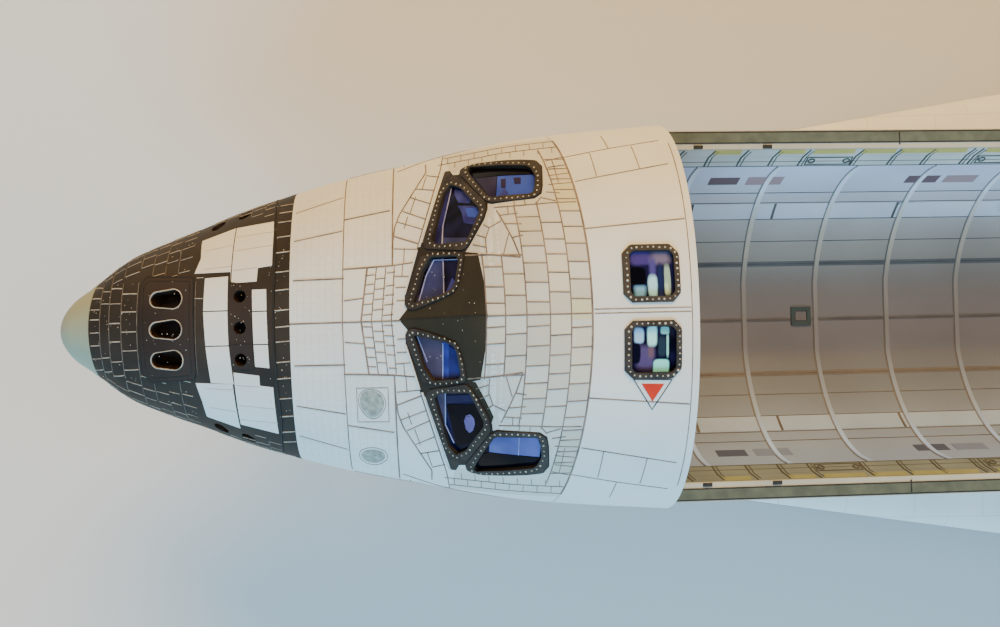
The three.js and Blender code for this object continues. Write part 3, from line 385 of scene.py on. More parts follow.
# Thin plate over a flat outline, laid on a surface: from low to
# high above it, and cut into small cells that follow it.
def slab(outline, low, high, holes=(), surface=skin, cell=(4.0, 0.06)):
    loops = [[Vector((p[0], p[1], 0)) for p in loop] for loop in (outline, *holes)]
    sheet = bmesh.new()
    corners = [sheet.verts.new(p) for loop in loops for p in loop]
    for triangle in tessellate_polygon(loops):
        if len(set(triangle)) < 3:
            continue
        a, b, c = (corners[i] for i in triangle)
        turn = (b.co - a.co).cross(c.co - a.co).z
        if abs(turn) > 1e-9:
            sheet.faces.new((a, b, c) if turn > 0 else (a, c, b))
    for axis in (0, 1):
        values = [v.co[axis] for v in corners]
        for k in range(math.ceil(min(values) / cell[axis]), math.floor(max(values) / cell[axis]) + 1):
            spot, normal = Vector(), Vector()
            spot[axis], normal[axis] = k * cell[axis], 1
            geometry = sheet.verts[:] + sheet.edges[:] + sheet.faces[:]
            bmesh.ops.bisect_plane(sheet, geom=geometry, dist=1e-5, plane_co=spot, plane_no=normal)
    bmesh.ops.remove_doubles(sheet, verts=sheet.verts[:], dist=2e-5)
    loose = [v for v in sheet.verts if not v.link_faces]
    bmesh.ops.delete(sheet, geom=loose, context="VERTS")
    sheet.verts.index_update()
    flat = np.array([(v.co.x, v.co.y) for v in sheet.verts])
    faces = [[v.index for v in face.verts] for face in sheet.faces]
    rim = [(loop.vert.index, loop.link_loop_next.vert.index)
           for edge in sheet.edges if len(edge.link_faces) == 1 for loop in edge.link_loops]
    sheet.free()
    top, bottom = surface(flat, high), surface(flat, low)
    count = len(flat)
    widest = max(faces, key=lambda face: abs(area_of([tuple(flat[i]) for i in face])))
    a, b, c = (top[i] for i in widest[:3])
    out = np.dot(np.cross(b - a, c - a), top[widest[0]] - bottom[widest[0]]) > 0
    order = 1 if out else -1
    shell = [(face[::order], 0) for face in faces]
    shell += [([i + count for i in face][::-order], 0) for face in faces]
    shell += [([a, a + count, b + count, b][::order], 0) for a, b in rim]
    return np.concatenate([top, bottom]), shell


# Printed line: a thin bar along a flat path on a surface.
def bar(path, width, low, high, surface=skin):
    flat = np.asarray(path, float).reshape(-1, 2)
    middle = surface(flat, 0.0)
    up = surface(flat, 1.0) - middle
    ahead = np.gradient(middle, axis=0)
    across = np.cross(ahead, up)
    across /= np.maximum(np.linalg.norm(across, axis=1, keepdims=True), 1e-9)
    half = across * width / 2
    rings = np.stack([middle - half + up * low, middle + half + up * low,
                      middle + half * 0.8 + up * high, middle - half * 0.8 + up * high], axis=1)
    return loft(rings)


# A spot at a height over a surface, and the way up from it.
def perch(surface, spot, height):
    centre = surface(spot, height)[0]
    return centre, surface(spot, height + 1)[0] - centre


# Turned body about an axis through a point, over a profile of
# radius and height. A closed profile makes a hollow ring.
def lathe(profile, centre, axis, sides=48, closed=False):
    centre, axis = Vector(centre), Vector(axis).normalized()
    side = axis.orthogonal().normalized()
    other = axis.cross(side)
    turns = [math.tau * i / sides for i in range(sides)]
    rings = [[tuple(centre + axis * height + (side * math.cos(a) + other * math.sin(a)) * radius)
              for a in turns]
             for radius, height in profile]
    points, faces = loft(rings)
    if closed:
        count = len(rings) * sides
        last = count - sides
        faces = [face for face in faces if max(face[0]) < count]
        faces += [([last + i, last + (i + 1) % sides, (i + 1) % sides, i], 0) for i in range(sides)]
        points = points[:count]
    return points, faces


# Small dome: shares of its radius and of its height.
DOME_PROFILE = ((1.0, -0.3), (1.0, 0.0), (0.75, 0.6), (0.3, 1.0))


def dome(centre, up, radius, height, sides):
    return lathe([(radius * share, height * lift) for share, lift in DOME_PROFILE], centre, up, sides)


# Fuselage section between two stations: the rows of faces under the belly edge take the second material.
TURNS = (56, 14, 26)
SECTION_STEP = 2.5


def hull_solid(front, rear, bow=(0.0, 0.0), belly=True, proud=0.0):
    count = max(2, round((rear - front) / SECTION_STEP))
    rings = []
    for k in range(count + 1):
        t = k / count
        station = front + (rear - front) * t
        edge = from_side([(station, along(BELLY_EDGE, 1, station))], 1)[0, 1]
        marks = (0, math.pi / 2, max(edge, math.pi / 2 + 0.1), math.pi)
        half = np.concatenate([np.linspace(a, b, n, endpoint=False)
                               for a, b, n in zip(marks, marks[1:], TURNS)])
        turns = np.concatenate([half, [math.pi], -half[:0:-1]])
        across = hull(np.full(len(turns), station), turns)[:, 1]
        bowed_stations = station - ((1 - t) * bow[0] + t * bow[1]) * across ** 2
        rings.append(skin(np.stack([bowed_stations, turns], axis=-1), proud))
    black = range(TURNS[0] + TURNS[1], sum(TURNS) + TURNS[2])
    return loft(rings, (lambda k, i: 1 if i in black else 0) if belly else None)


def mesh_of(name, parts, materials):
    points = np.concatenate([np.asarray(part_points, float).reshape(-1, 3) for part_points, _ in parts])
    faces, numbers, start = [], [], 0
    for part_points, part_faces in parts:
        faces += [[start + i for i in face] for face, _ in part_faces]
        numbers += [min(number, len(materials) - 1) for _, number in part_faces]
        start += len(part_points)
    mesh = bpy.data.meshes.new(name)
    mesh.from_pydata(place(points).tolist(), [], faces)
    for material in materials:
        mesh.materials.append(material)
    mesh.polygons.foreach_set("material_index", numbers)
    mesh.validate()
    thing = bpy.data.objects.new(name, mesh)
    bpy.context.scene.collection.objects.link(thing)
    cleaned(thing)
    return thing


# Welds a mesh and turns its faces out.
def cleaned(thing):
    work = bmesh.new()
    work.from_mesh(thing.data)
    bmesh.ops.remove_doubles(work, verts=work.verts[:], dist=INCH * 0.002)
    bmesh.ops.dissolve_degenerate(work, edges=work.edges[:], dist=INCH * 0.001)
    bmesh.ops.recalc_face_normals(work, faces=work.faces[:])
    work.to_mesh(thing.data)
    work.free()


# A finished piece: welded, facing out, smooth but for its sharp edges, riding on its body.
def piece(name, parts, materials, slot, body="orbiter", replaces=(), sharp=35, cutters=()):
    materials = materials if isinstance(materials, list) else [materials]
    thing = mesh_of(name, parts, materials)
    for cutter_parts, cutter_material in cutters:
        cut(thing, cutter_parts, cutter_material)
    return finished(name, thing, slot, body, replaces, sharp)


def finished(name, thing, slot, body="orbiter", replaces=(), sharp=35):
    thing.name = name
    cleaned(thing)
    thing.data.shade_smooth()
    thing.data.set_sharp_from_angle(angle=math.radians(sharp))
    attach(thing, body)
    if replaces:
        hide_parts(*replaces)
    return thing


def cut(thing, parts, material, operation="DIFFERENCE"):
    cutter = mesh_of(thing.name + "_cutter", parts, [material])
    modifier = thing.modifiers.new("cut", "BOOLEAN")
    modifier.operation = operation
    modifier.object = cutter
    modifier.solver = "EXACT"
    modifier.material_mode = "TRANSFER"
    bpy.context.view_layer.update()
    mesh = bpy.data.meshes.new_from_object(thing.evaluated_get(bpy.context.evaluated_depsgraph_get()))
    thing.modifiers.clear()
    thing.data = mesh
    bpy.data.objects.remove(cutter)


# The same piece on both sides. The names of replaced nodes and of the body may hold a place for the side, and
# the material may be given for each side.
def pair(name, parts, materials, slot, body="orbiter", replaces=(), sharp=35, cutters=()):
    for side_name, sign in SIDES.items():
        looks = materials[side_name] if isinstance(materials, dict) else materials
        cuts = [(facing(group, sign), material) for group, material in cutters]
        nodes = [node.format(side_name) for node in replaces]
        piece(f"{name}_{side_name}", facing(parts, sign), looks, slot, body.format(side_name), nodes, sharp,
              cuts)


# Plates over outlines on the fuselage seen from above.
def plates(name, outlines, high, material, slot="white_card", low=-0.3):
    piece(name, [slab(plan(outline), low, high) for outline in outlines], material, slot)


# Printed lines on the fuselage seen from above. Each is a width in inches and a path of station and buttline.
def lines(name, rows, material, slot="white_card", low=-0.25, high=0.3):
    piece(name, [bar(plan(path, False, 2.5), width, low, high) for width, path in rows], material, slot,
          sharp=60)


def both(rows):
    return rows + [(width, mirrored(path)) for width, path in rows]


# Rows of width and path from a table of the paths of each width.
def spread(table):
    return [(width, path) for width, paths in table.items() for path in paths]


# The same joints on both sides, along rows on a surface.
def seams(name, rows, surface, ink, low=-0.3):
    pair(name, [bar(row, 0.6, low, 0.3, surface) for row in rows], ink, "white_card", sharp=60)


# Materials: all are nodes on the object's own coordinates, in metres.
# This makes one node. Each input, by name or number, is linked to a socket or set to a value.
def node(tree, kind, inputs, output=None, **settings):
    made = tree.nodes.new("ShaderNode" + kind)
    for setting, value in settings.items():
        setattr(made, setting, value)
    for name, value in inputs.items():
        if isinstance(value, bpy.types.NodeSocket):
            tree.links.new(value, made.inputs[name])
        else:
            made.inputs[name].default_value = value
    return made if output is None else made.outputs[output]


def new_material(name, roughness, specular=0.35):
    material = bpy.data.materials.new(name)
    material.use_nodes = True
    shader = material.node_tree.nodes["Principled BSDF"]
    shader.inputs["Roughness"].default_value = roughness
    shader.inputs["Specular IOR Level"].default_value = specular
    return material, material.node_tree


# Gives a material its colour and a fine grain: scale and detail of the noise, strength and depth of the bump.
def covered(material, tree, colour, scale, detail, strength, depth):
    shader = tree.nodes["Principled BSDF"]
    grain = {"Strength": strength, "Distance": depth, "Height": noise(tree, scale, detail)}
    tree.links.new(node(tree, "Bump", grain, "Normal"), shader.inputs["Normal"])
    tree.links.new(colour, shader.inputs["Base Color"])
    return material


def place_node(tree):
    return node(tree, "TexCoord", {}, "Object")


def noise(tree, scale, detail):
    return node(tree, "TexNoise", {"Scale": scale, "Detail": detail, "Vector": place_node(tree)}, "Fac")


def ramp(tree, value, stops):
    made = node(tree, "ValToRGB", {"Fac": value})
    while len(made.color_ramp.elements) < len(stops):
        made.color_ramp.elements.new(0.5)
    for element, (position, colour) in zip(made.color_ramp.elements, stops):
        element.position = position
        element.color = (*colour, 1)
    return made.outputs["Color"]


# Two colours mixed, each a socket or three numbers. The mix node's sockets for colours go by number.
MIX_SHARE, MIX_FIRST, MIX_SECOND, MIX_COLOUR = 0, 6, 7, 2


def blended(tree, share, first, second, how="MIX"):
    first, second = ((*colour, 1) if isinstance(colour, tuple) else colour for colour in (first, second))
    inputs = {MIX_SHARE: share, MIX_FIRST: first, MIX_SECOND: second}
    return node(tree, "Mix", inputs, MIX_COLOUR, data_type="RGBA", blend_type=how)


def between(tree, value, low, high):
    return node(tree, "MapRange", {"From Min": low, "From Max": high, "Value": value}, "Result")


# Printed card: a soft mottle between two colours, paper grain, and pale specks where the print has worn.
def card(name, light, dark, roughness=0.62, specks=0.0, mottle=90.0, grain=0.25, grid=None, specular=0.3):
    material, tree = new_material(name, roughness, specular)
    colour = ramp(tree, noise(tree, mottle, 4.0), [(0.3, dark), (0.68, light)])
    if grid:
        colour = grid_lines(tree, colour, *grid)
    if specks:
        dots = node(tree, "TexVoronoi", {"Scale": SPECK_SCALE, "Vector": place_node(tree)})
        near = between(tree, dots.outputs["Distance"], 0.16, 0.1)
        gate = between(tree, dots.outputs["Color"], 1.0 - specks, 1.0 - specks * 0.9)
        share = node(tree, "Math", {0: near, 1: gate}, "Value", operation="MULTIPLY")
        colour = blended(tree, share, colour, SPECK_COLOUR)
    return covered(material, tree, colour, 2600.0, 2.0, grain, 0.00006)


# Printed lines in a brick pattern over the two named axes, with sizes in inches.
def grid_lines(tree, colour, axes, width, row, line, line_colour, strength):
    split = node(tree, "SeparateXYZ", {"Vector": place_node(tree)})
    flat = node(tree, "CombineXYZ", {name: split.outputs[axis] for axis, name in zip(axes, "XY")}, "Vector")
    sizes = {"Brick Width": width * INCH, "Row Height": row * INCH, "Mortar Size": line * INCH}
    mortar = node(tree, "TexBrick", {"Vector": flat, "Scale": 1.0, "Mortar Smooth": 0.2, **sizes}, "Fac")
    return blended(tree, between(tree, mortar, 0.0, 1.0 / strength), colour, line_colour)


SPECK_SCALE = 900.0
SPECK_COLOUR = (0.5, 0.47, 0.42)
JOINT_BROWN, JOINT_GREY = (0.3, 0.26, 0.22), (0.36, 0.33, 0.29)
WHITE_TONES = (0.66, 0.65, 0.61), (0.6, 0.59, 0.56)
WHITE = card("white_card", *WHITE_TONES)
SIDE_WHITE = card("side_card", *WHITE_TONES, grid=((0, 2), 30.0, 15.0, 0.35, JOINT_BROWN, 0.5))
FIN_WHITE = card("fin_card", *WHITE_TONES, grid=((0, 2), 16.0, 12.0, 0.3, JOINT_BROWN, 0.4))
WING_WHITE = card("wing_card", *WHITE_TONES, grid=((0, 1), 44.0, 22.0, 0.35, JOINT_GREY, 0.35))
BASE = card("base_tile_card", (0.075, 0.066, 0.06), (0.045, 0.04, 0.037), specks=0.04,
            grid=((1, 2), 12.0, 12.0, 0.4, (0.22, 0.2, 0.18), 0.7))
CREAM = card("cream_card", (0.58, 0.53, 0.41), (0.52, 0.47, 0.36))
TILE_WHITE = card("tile_white_card", (0.56, 0.535, 0.475), (0.5, 0.48, 0.425))
TILE_DEEP = card("tile_deep_card", (0.52, 0.48, 0.39), (0.45, 0.41, 0.34))
YELLOW = card("yellow_card", (0.56, 0.53, 0.34), (0.5, 0.46, 0.29))
CAP = card("cap_card", (0.3, 0.325, 0.23), (0.245, 0.265, 0.19), roughness=0.55, mottle=60)
TILE = card("black_tile_card", (0.034, 0.026, 0.02), (0.018, 0.014, 0.011), roughness=0.6, specks=0.1,
            specular=0.2)
PANEL = card("black_panel_card", (0.033, 0.023, 0.019), (0.02, 0.014, 0.012), roughness=0.6, specks=0.04,
             specular=0.2)
PATCH = card("black_patch_card", (0.036, 0.029, 0.018), (0.024, 0.019, 0.012), roughness=0.65, specks=0.05,
             specular=0.15)
RECESS = card("port_recess", (0.03, 0.015, 0.008), (0.006, 0.004, 0.003), roughness=0.4, mottle=500)
BELLY = card("belly_tile_card", (0.04, 0.035, 0.032), (0.022, 0.02, 0.018), specks=0.03,
             grid=((0, 1), 11.0, 11.0, 0.22, (0.13, 0.12, 0.11), 0.8))
PALE_LINE = card("pale_print", (0.44, 0.38, 0.31), (0.22, 0.18, 0.14), mottle=700)
DIM_LINE = card("dim_print", (0.16, 0.135, 0.115), (0.07, 0.058, 0.05), mottle=900)
BROWN_LINE = card("brown_print", (0.25, 0.18, 0.135), (0.1, 0.07, 0.055), mottle=500)
FAINT_LINE = card("faint_print", (0.42, 0.38, 0.32), (0.28, 0.25, 0.21), mottle=500)
BLACK_LINE = card("black_print", (0.02, 0.018, 0.017), (0.01, 0.01, 0.01), mottle=500)
QUILT = card("quilt_card", *WHITE_TONES, grid=((1, 0), 7.0, 4.0, 0.16, (0.46, 0.43, 0.39), 0.5))

# Nose cap.
CAP_STEPS, TIP_STEPS, CAP_SIDES = 26, 12, 96
rings = []
turns = np.linspace(0, math.tau, CAP_SIDES, endpoint=False)
turns = np.where(turns > math.pi, turns - math.tau, turns)
for k in range(CAP_STEPS + 1):
    if k <= TIP_STEPS:
        station = TIP_STATION + (TIP_REAR - TIP_STATION) * (max(k, 0.35) / TIP_STEPS) ** 2
    else:
        station = TIP_REAR + (CAP_SEAM - SEAM_GAP / 2 - TIP_REAR) * (k - TIP_STEPS) / (CAP_STEPS - TIP_STEPS)
    rings.append(hull(np.full(CAP_SIDES, station), turns))
piece("nose_cap_skin", [loft(rings)], CAP, "cap_card", replaces=["nose_cap"])

# Forward thruster bay.
FORWARD_STATION = 309.6
FORWARD_ROWS = (-18.4, -1.5, 15.5)
UP_STATION = 353
UP_ROWS = (-19.1, -1.7, 15.6)
UP_RADIUS = 3.6
SIDE_PORTS = [(336, 371), (352, 374), (340, 338), (356, 340)]
SIDE_RADIUS = 4.0
PORT_DEPTH, OVER = -9.0, 4.0
NOSE_WELL = ((296, 374), (-14, 14), (240, 331))


def teardrop(row, grow=0.0):
    rear = [(FORWARD_STATION + 4.4 + a, row + b) for a, b in arc(5.3 + grow, -90, 90, 12)]
    return rear + [(FORWARD_STATION - 5.2 + a, row + b) for a, b in arc(4.2 + grow, 90, 270, 12)]


port_holes = [from_plan(teardrop(row)) for row in FORWARD_ROWS]
up_holes = [from_plan(circle(UP_STATION, row, UP_RADIUS, 9)) for row in UP_ROWS]
side_holes = [from_side(circle(x, z, SIDE_RADIUS), side) for side in SIDES.values() for x, z in SIDE_PORTS]
nose_cuts = [slab(hole, PORT_DEPTH, OVER) for hole in port_holes + up_holes + side_holes]
nose_body = hull_solid(CAP_SEAM + SEAM_GAP / 2, NOSE_SEAM - SEAM_GAP / 2)
piece("nose_skin", [nose_body], [TILE, BELLY], "black_tile", replaces=["nose_section"],
      cutters=[(nose_cuts, RECESS), ([block(*NOSE_WELL)], TILE)])

# White card on the nose, round the upward ports: station, buttline.
NOSE_WHITES = [
    [(328, 49), (348, 55.5), (347.4, 24), (347.4, 29), (347, 29.5), (326, 29.5), (329, 38)],
    [(348.6, 55.5), (371, 58), (371, 32), (363, 31), (362.5, 23.5), (348, 23)],
    [(325.5, -31.5), (347.4, -32.5), (348.4, -58), (329, -51), (328, -42)],
    [(348.4, -26), (363, -28), (363, -33.5), (370.5, -34.5), (371, -61), (349.2, -55.5)],
    [(332.5, 26.5), (346, 27), (346, 8.2), (332, 8.2)],
    [(332, 7.6), (346, 7.6), (346.3, -11), (333, -11)],
    [(333, -11.6), (346.4, -11.6), (348, -32.5), (334.7, -31.5)],
    [(360, 19), (368, 19), (368.2, 7.3), (360.2, 7.3)],
    [(360.2, 6.7), (368.2, 6.7), (368.6, -10.7), (360.6, -10.7)],
    [(360.6, -11.3), (368.6, -11.3), (369, -24), (361, -23)],
]
plates("nose_white_card", NOSE_WHITES, 0.16, WHITE)

# Panel round the forward ports, with a line inside its edge, and pale rims round the ports.
FORWARD_PANEL = [(297, 29), (325, 27.5), (326, 24), (326.5, -25), (325, -29.5), (299, -31), (293.5, -25),
                 (293, 24)]
piece("forward_port_panel", [slab(plan(FORWARD_PANEL), -0.3, 0.45, port_holes)], PANEL, "black_tile")
rims = [slab(from_plan(teardrop(row, 0.55)), -0.2, 0.75, [hole])
        for row, hole in zip(FORWARD_ROWS, port_holes)]
piece("forward_port_rims", rims, PALE_LINE, "black_tile")
# The cap's paper laps over the tiles, further at the sides than on the crown.
lap_turns = np.linspace(-3.1, 3.1, 121)
lap = [(CAP_SEAM - 0.5, t) for t in lap_turns]
lap += [(CAP_SEAM + 1.7 + 1.6 * math.sin(t) ** 2, t) for t in lap_turns[::-1]]
piece("nose_cap_lap", [slab(lap, -0.2, 0.3)], CAP, "cap_card")
UP_PANEL = [(346.4, 24), (359.6, 21.5), (360.2, -24.5), (348.2, -24.5)]
piece("up_port_panel", [slab(plan(UP_PANEL), -0.3, 0.3, up_holes)], PANEL, "black_tile")

REAR_LINE = [(370, 73), (373, 35), (372, 0), (373, -35), (374, -53), (371, -73)]
outline_lines = [(0.7, looped(FORWARD_PANEL)), (0.5, looped(grown(FORWARD_PANEL, -2.4))), (1.1, REAR_LINE)]
lines("nose_black_lines", outline_lines, BLACK_LINE, "black_tile", high=0.62)

# Tiles of the nose: courses between stations, each split into tiles, and left bare where other card lies.
COURSES = [260.5, 267.6, 273.8, 281.7, 291.8, 300, 308, 316, 324, 332, 340, 348, 356, 364, 372]
BARE = [rectangle(255, 291.8, 27, -29), FORWARD_PANEL, rectangle(325, 371, 61, -62)]
# Where the courses' joints end, as a share of the half turn.
COURSE_END = 0.62
# Tiles in front of the forward ports: front and rear station of each column, and the buttlines of its joints.
NOSE_COLUMNS = [
    (260.5, 267.6, (24.5, 18.1, 11.5, 5.7, -1.9, -9.3, -16.8, -23.3)),
    (267.6, 273.8, (21.9, 14.7, -16.4, -24.5)),
    (273.8, 281.7, (23.3, 14.4, 3.1, -7.4, -18.8, -26.9)),
    (281.7, 291.8, (19.8, 9.4, -2.0, -12.7, -23.6)),
]


def inside(point, outline):
    x, y = point
    hit = False
    for (ax, ay), (bx, by) in zip(outline, outline[1:] + outline[:1]):
        if (ay > y) != (by > y) and x < (bx - ax) * (y - ay) / (by - ay) + ax:
            hit = not hit
    return hit


# Whether a spot of the skin lies on bare card, as seen from above.
def on_bare(station, turn):
    spot = skin([(station, turn)])[0]
    return any(inside(spot[:2], outline) for outline in BARE)


chance = random.Random(4)
joint_rows, ring_rows = [], []
for k, (front, rear) in enumerate(zip(COURSES, COURSES[1:])):
    girth = float(along(HULL, 1, (front + rear) / 2)) * 1.75
    count = round(girth / (7.0 if k < 2 else 8.5))
    for side in SIDES.values():
        for i in range(count):
            step = i + (0.5 if k % 2 else 0.15) + chance.uniform(-0.08, 0.08)
            turn = side * step / count * math.pi * COURSE_END
            if on_bare((front + rear) / 2, turn):
                continue
            joint_rows.append((chance.uniform(0.3, 0.6),
                               [(front + 0.5, turn), (rear - chance.uniform(0, 1.5), turn)]))
            next_turn = turn + side / count * math.pi * COURSE_END
            if not on_bare(front, (turn + next_turn) / 2) and chance.random() < 0.75:
                arc_turns = np.linspace(turn, next_turn, 5)
                ring_rows.append((chance.uniform(0.3, 0.55), [(front, t) for t in arc_turns]))
for front, rear, marks in NOSE_COLUMNS:
    for y in marks:
        joint_rows.append((chance.uniform(0.45, 0.8), from_plan([(front + 0.4, y), (rear - 0.6, y * 0.99)])))
    ring_rows.append((0.5, from_plan([(rear, y) for y in np.linspace(-28, 26, 24)])))
joint_rows += [(0.4, from_plan([(327.5, 27), (331.5, 27)])), (0.5, from_plan([(326.8, 15.4), (331.6, 15.2)]))]
ring_rows.append((0.35, from_plan([(327.2, y) for y in np.linspace(-27, 25, 16)])))
for name, rows, ink in (("nose_tile_joints", joint_rows, PALE_LINE),
                        ("nose_tile_rings", ring_rows, DIM_LINE)):
    bars = [bar(fine(path, 2.5), width, -0.25, 0.22) for width, path in rows]
    piece(name, bars, ink, "black_tile", sharp=60)
CARD_LINES = [(331.2, 42.4, 348.2, 45.2), (349.3, 41.4, 370.8, 43.6), (348.8, 30, 362.5, 31.2),
              (349.2, 49.6, 371, 51.6), (331, 31.6, 347.6, 32.6)]
card_lines = [(0.35, [(a, b), (c, d)]) for a, b, c, d in CARD_LINES]
card_lines += [(width, [(x + 0.4, -y - 3) for x, y in path]) for width, path in card_lines]
lines("nose_card_lines", card_lines, FAINT_LINE, high=0.26)
up_lines = [(0.4, [(346.8, -10.6), (360, -10.4)]), (0.3, [(354.5, 6.6), (355.5, 9.5)])]
lines("up_port_lines", up_lines, BLACK_LINE, "black_tile", high=0.42)

# Specks of bare paper where the print has chipped: area as
# lowest and highest station and buttline, and how many.
SPECK_AREAS = [(262, 291, -30, 30, 46), (294, 326, -28, 26, 24), (346.5, 360, -25, 22, 26),
               (366, 380, -55, 55, 44), (452, 483, -24, 24, 26), (300, 330, -52, -32, 14),
               (300, 330, 30, 50, 14)]
specks = []
for low_x, high_x, low_y, high_y, count in SPECK_AREAS:
    for _ in range(count):
        spot = from_plan([(chance.uniform(low_x, high_x), chance.uniform(low_y, high_y))])
        seat = perch(skin, spot, 0.42 if high_x < 362 else 0.15)
        specks.append(dome(*seat, chance.uniform(0.15, 0.42), 0.12, 5))
piece("paper_specks", specks, PALE_LINE, "black_tile", sharp=60)

# Cockpit and cabin skins, with recesses for the windows.
FRONT_SEAM, REAR_SEAM = TILE_SEAM - SEAM_GAP / 2, TILE_SEAM + SEAM_GAP / 2
window_cuts = {outline: [slab(plan(points), -3.4, OVER) for points in (table, mirrored(table))]
               for outline, table in (("cockpit", WINDSHIELD), ("cabin", OVERHEAD))}
piece("cockpit_skin", [hull_solid(NOSE_SEAM + SEAM_GAP / 2, FRONT_SEAM, bow=(0.0, TILE_BOW))], [WHITE, BELLY],
      "white_card", replaces=["cockpit_section"], cutters=[(window_cuts["cockpit"], BLACK_LINE)])
cabin_room = hull_solid(545, 592, belly=False, proud=-3.9)
piece("cabin_skin", [hull_solid(REAR_SEAM, CABIN_RIM, bow=(TILE_BOW, 0.0))], [WHITE, BELLY], "white_card",
      replaces=["cabin_section"], cutters=[(window_cuts["cabin"], BLACK_LINE), ([cabin_room], WHITE)])

# Windows: glazing in the recess, dark card round it, a raised
# ring round each pane, and rivets along the rings.
GLASS_TOP = -1.5
SHAPE_STEP = 0.03
FRAME_TOP = 0.35
RING_TOP = 1.0
RIVET_PITCH = 2.7
GLASS_BOTTOM = -3.3
OVERHEAD_HEIGHT = 497
SPOT_WAVER, SPOT_EDGE = 0.5, 1.26


def glazing(name, stops, scale=330.0, reflections=()):
    material, tree = new_material(name, 0.14, specular=0.05)
    colour = ramp(tree, noise(tree, scale, 1.0), stops)
    # Painted reflections, each a soft spot blended over the mottle.
    for *box, soft, tint in reflections:
        colour = blended(tree, between(tree, spot_reach(tree, *box), SPOT_EDGE, soft), colour, tint)
    return covered(material, tree, colour, 300.0, 1.0, 0.15, 0.0004)


# How far a point lies from the middle of an upright box with round corners, 1 on its edge, wavering a little.
def spot_reach(tree, x, y, half_x, half_y):
    middle = {"Location": place([(x, y, OVERHEAD_HEIGHT)])[0], "Scale": (half_x * INCH, half_y * INCH, 1.0)}
    offset = node(tree, "Mapping", {"Vector": place_node(tree), **middle}, "Vector", vector_type="TEXTURE")
    squared = node(tree, "VectorMath", {0: offset, 1: offset}, "Vector", operation="MULTIPLY")
    length = node(tree, "VectorMath", {0: squared}, "Value", operation="LENGTH")
    root = node(tree, "Math", {0: length}, "Value", operation="SQRT")
    waver = {0: noise(tree, 380.0, 2.0), 1: SPOT_WAVER, 2: root}
    return node(tree, "Math", waver, "Value", operation="MULTIPLY_ADD")


NAVY_STOPS = [(0.36, (0.001, 0.001, 0.006)), (0.66, (0.009, 0.008, 0.04))]
NAVY = glazing("window_glass", NAVY_STOPS)
# Soft painted reflections in the overhead panes: middle, half sizes, where it is full, and colour.
OVERHEAD_REFLECTIONS = {
    "starboard": [
        (557, 26, 6, 4.4, 0.9, (0.05, 0.035, 0.17)),
        (566.5, 26, 6, 4.4, 0.7, (0.13, 0.11, 0.19)),
        (562.6, 20, 2.2, 8, 0.6, (0.06, 0.05, 0.2)),
        (556.3, 9.6, 3.6, 3.4, 0.7, (0.16, 0.38, 0.62)),
        (562.3, 12, 2.6, 6.4, 0.9, (0.34, 0.66, 0.76)),
        (555.4, 17.4, 4.2, 4.4, 1.1, (0.002, 0.002, 0.004)),
        (566.2, 14.5, 1.5, 9.5, 0.95, (0.012, 0.018, 0.07)),
        (569.5, 15.3, 1.7, 8, 0.95, (0.25, 0.36, 0.3)),
        (569, 11, 1.2, 3.4, 0.6, (0.42, 0.56, 0.42)),
    ],
    "port": [
        (558, -22, 5.4, 7, 0.85, (0.07, 0.05, 0.13)),
        (560.8, -19.4, 1.8, 4, 0.6, (0.12, 0.07, 0.09)),
        (555.2, -11.3, 2.7, 4.2, 0.95, (0.28, 0.46, 0.68)),
        (561.3, -11.8, 2.7, 5.4, 0.95, (0.36, 0.72, 0.7)),
        (552.3, -20.2, 3.8, 5.3, 1.1, (0.003, 0.003, 0.012)),
        (566.2, -17, 2.3, 5.6, 0.9, (0.016, 0.03, 0.05)),
        (567.6, -9.3, 2.3, 2, 0.95, (0.16, 0.44, 0.42)),
        (568.8, -16.6, 0.7, 6.4, 0.95, (0.2, 0.5, 0.46)),
        (565.8, -26.8, 4.1, 4.2, 1.08, (0.2, 0.66, 0.58)),
    ],
}
# Colours of the painted reflections in the glass: darkest and lightest colour, and scale of the mottle.
REFLECTION_COLOURS = {
    "ink": ((0.001, 0.001, 0.002), (0.004, 0.003, 0.006), 330),
    "slate": ((0.028, 0.03, 0.095), (0.044, 0.05, 0.16), 330),
    "haze": ((0.05, 0.036, 0.062), (0.085, 0.06, 0.1), 330),
    "azure": ((0.027, 0.048, 0.31), (0.047, 0.086, 0.47), 260),
    "violet": ((0.02, 0.02, 0.13), (0.05, 0.055, 0.26), 420),
    "blue": ((0.066, 0.066, 0.2), (0.115, 0.115, 0.3), 260),
    "deep": ((0.014, 0.013, 0.065), (0.034, 0.034, 0.17), 260),
    "dusk": ((0.014, 0.011, 0.038), (0.03, 0.023, 0.068), 260),
    "lilac": ((0.1, 0.075, 0.2), (0.17, 0.12, 0.29), 420),
    # The edge tone is the colour of the painted highlights.
    "edge": ((0.2, 0.2, 0.4), (0.4, 0.4, 0.6), 330),
}
REFLECTION_TONES = {tone: glazing(f"glass_{tone}", [(0.3, dark), (0.7, light)], scale)
         for tone, (dark, light, scale) in REFLECTION_COLOURS.items()}
FRAME_MAT = card("frame_card", (0.026, 0.02, 0.016), (0.014, 0.011, 0.009), roughness=0.6, specks=0.05,
                 specular=0.2)
RING_MAT = card("ring_card", (0.042, 0.033, 0.027), (0.02, 0.016, 0.014), roughness=0.6, mottle=500,
                specks=0.05, specular=0.2)
RIVET = card("rivet_print", (0.55, 0.5, 0.4), (0.22, 0.19, 0.15), roughness=0.5, mottle=900)
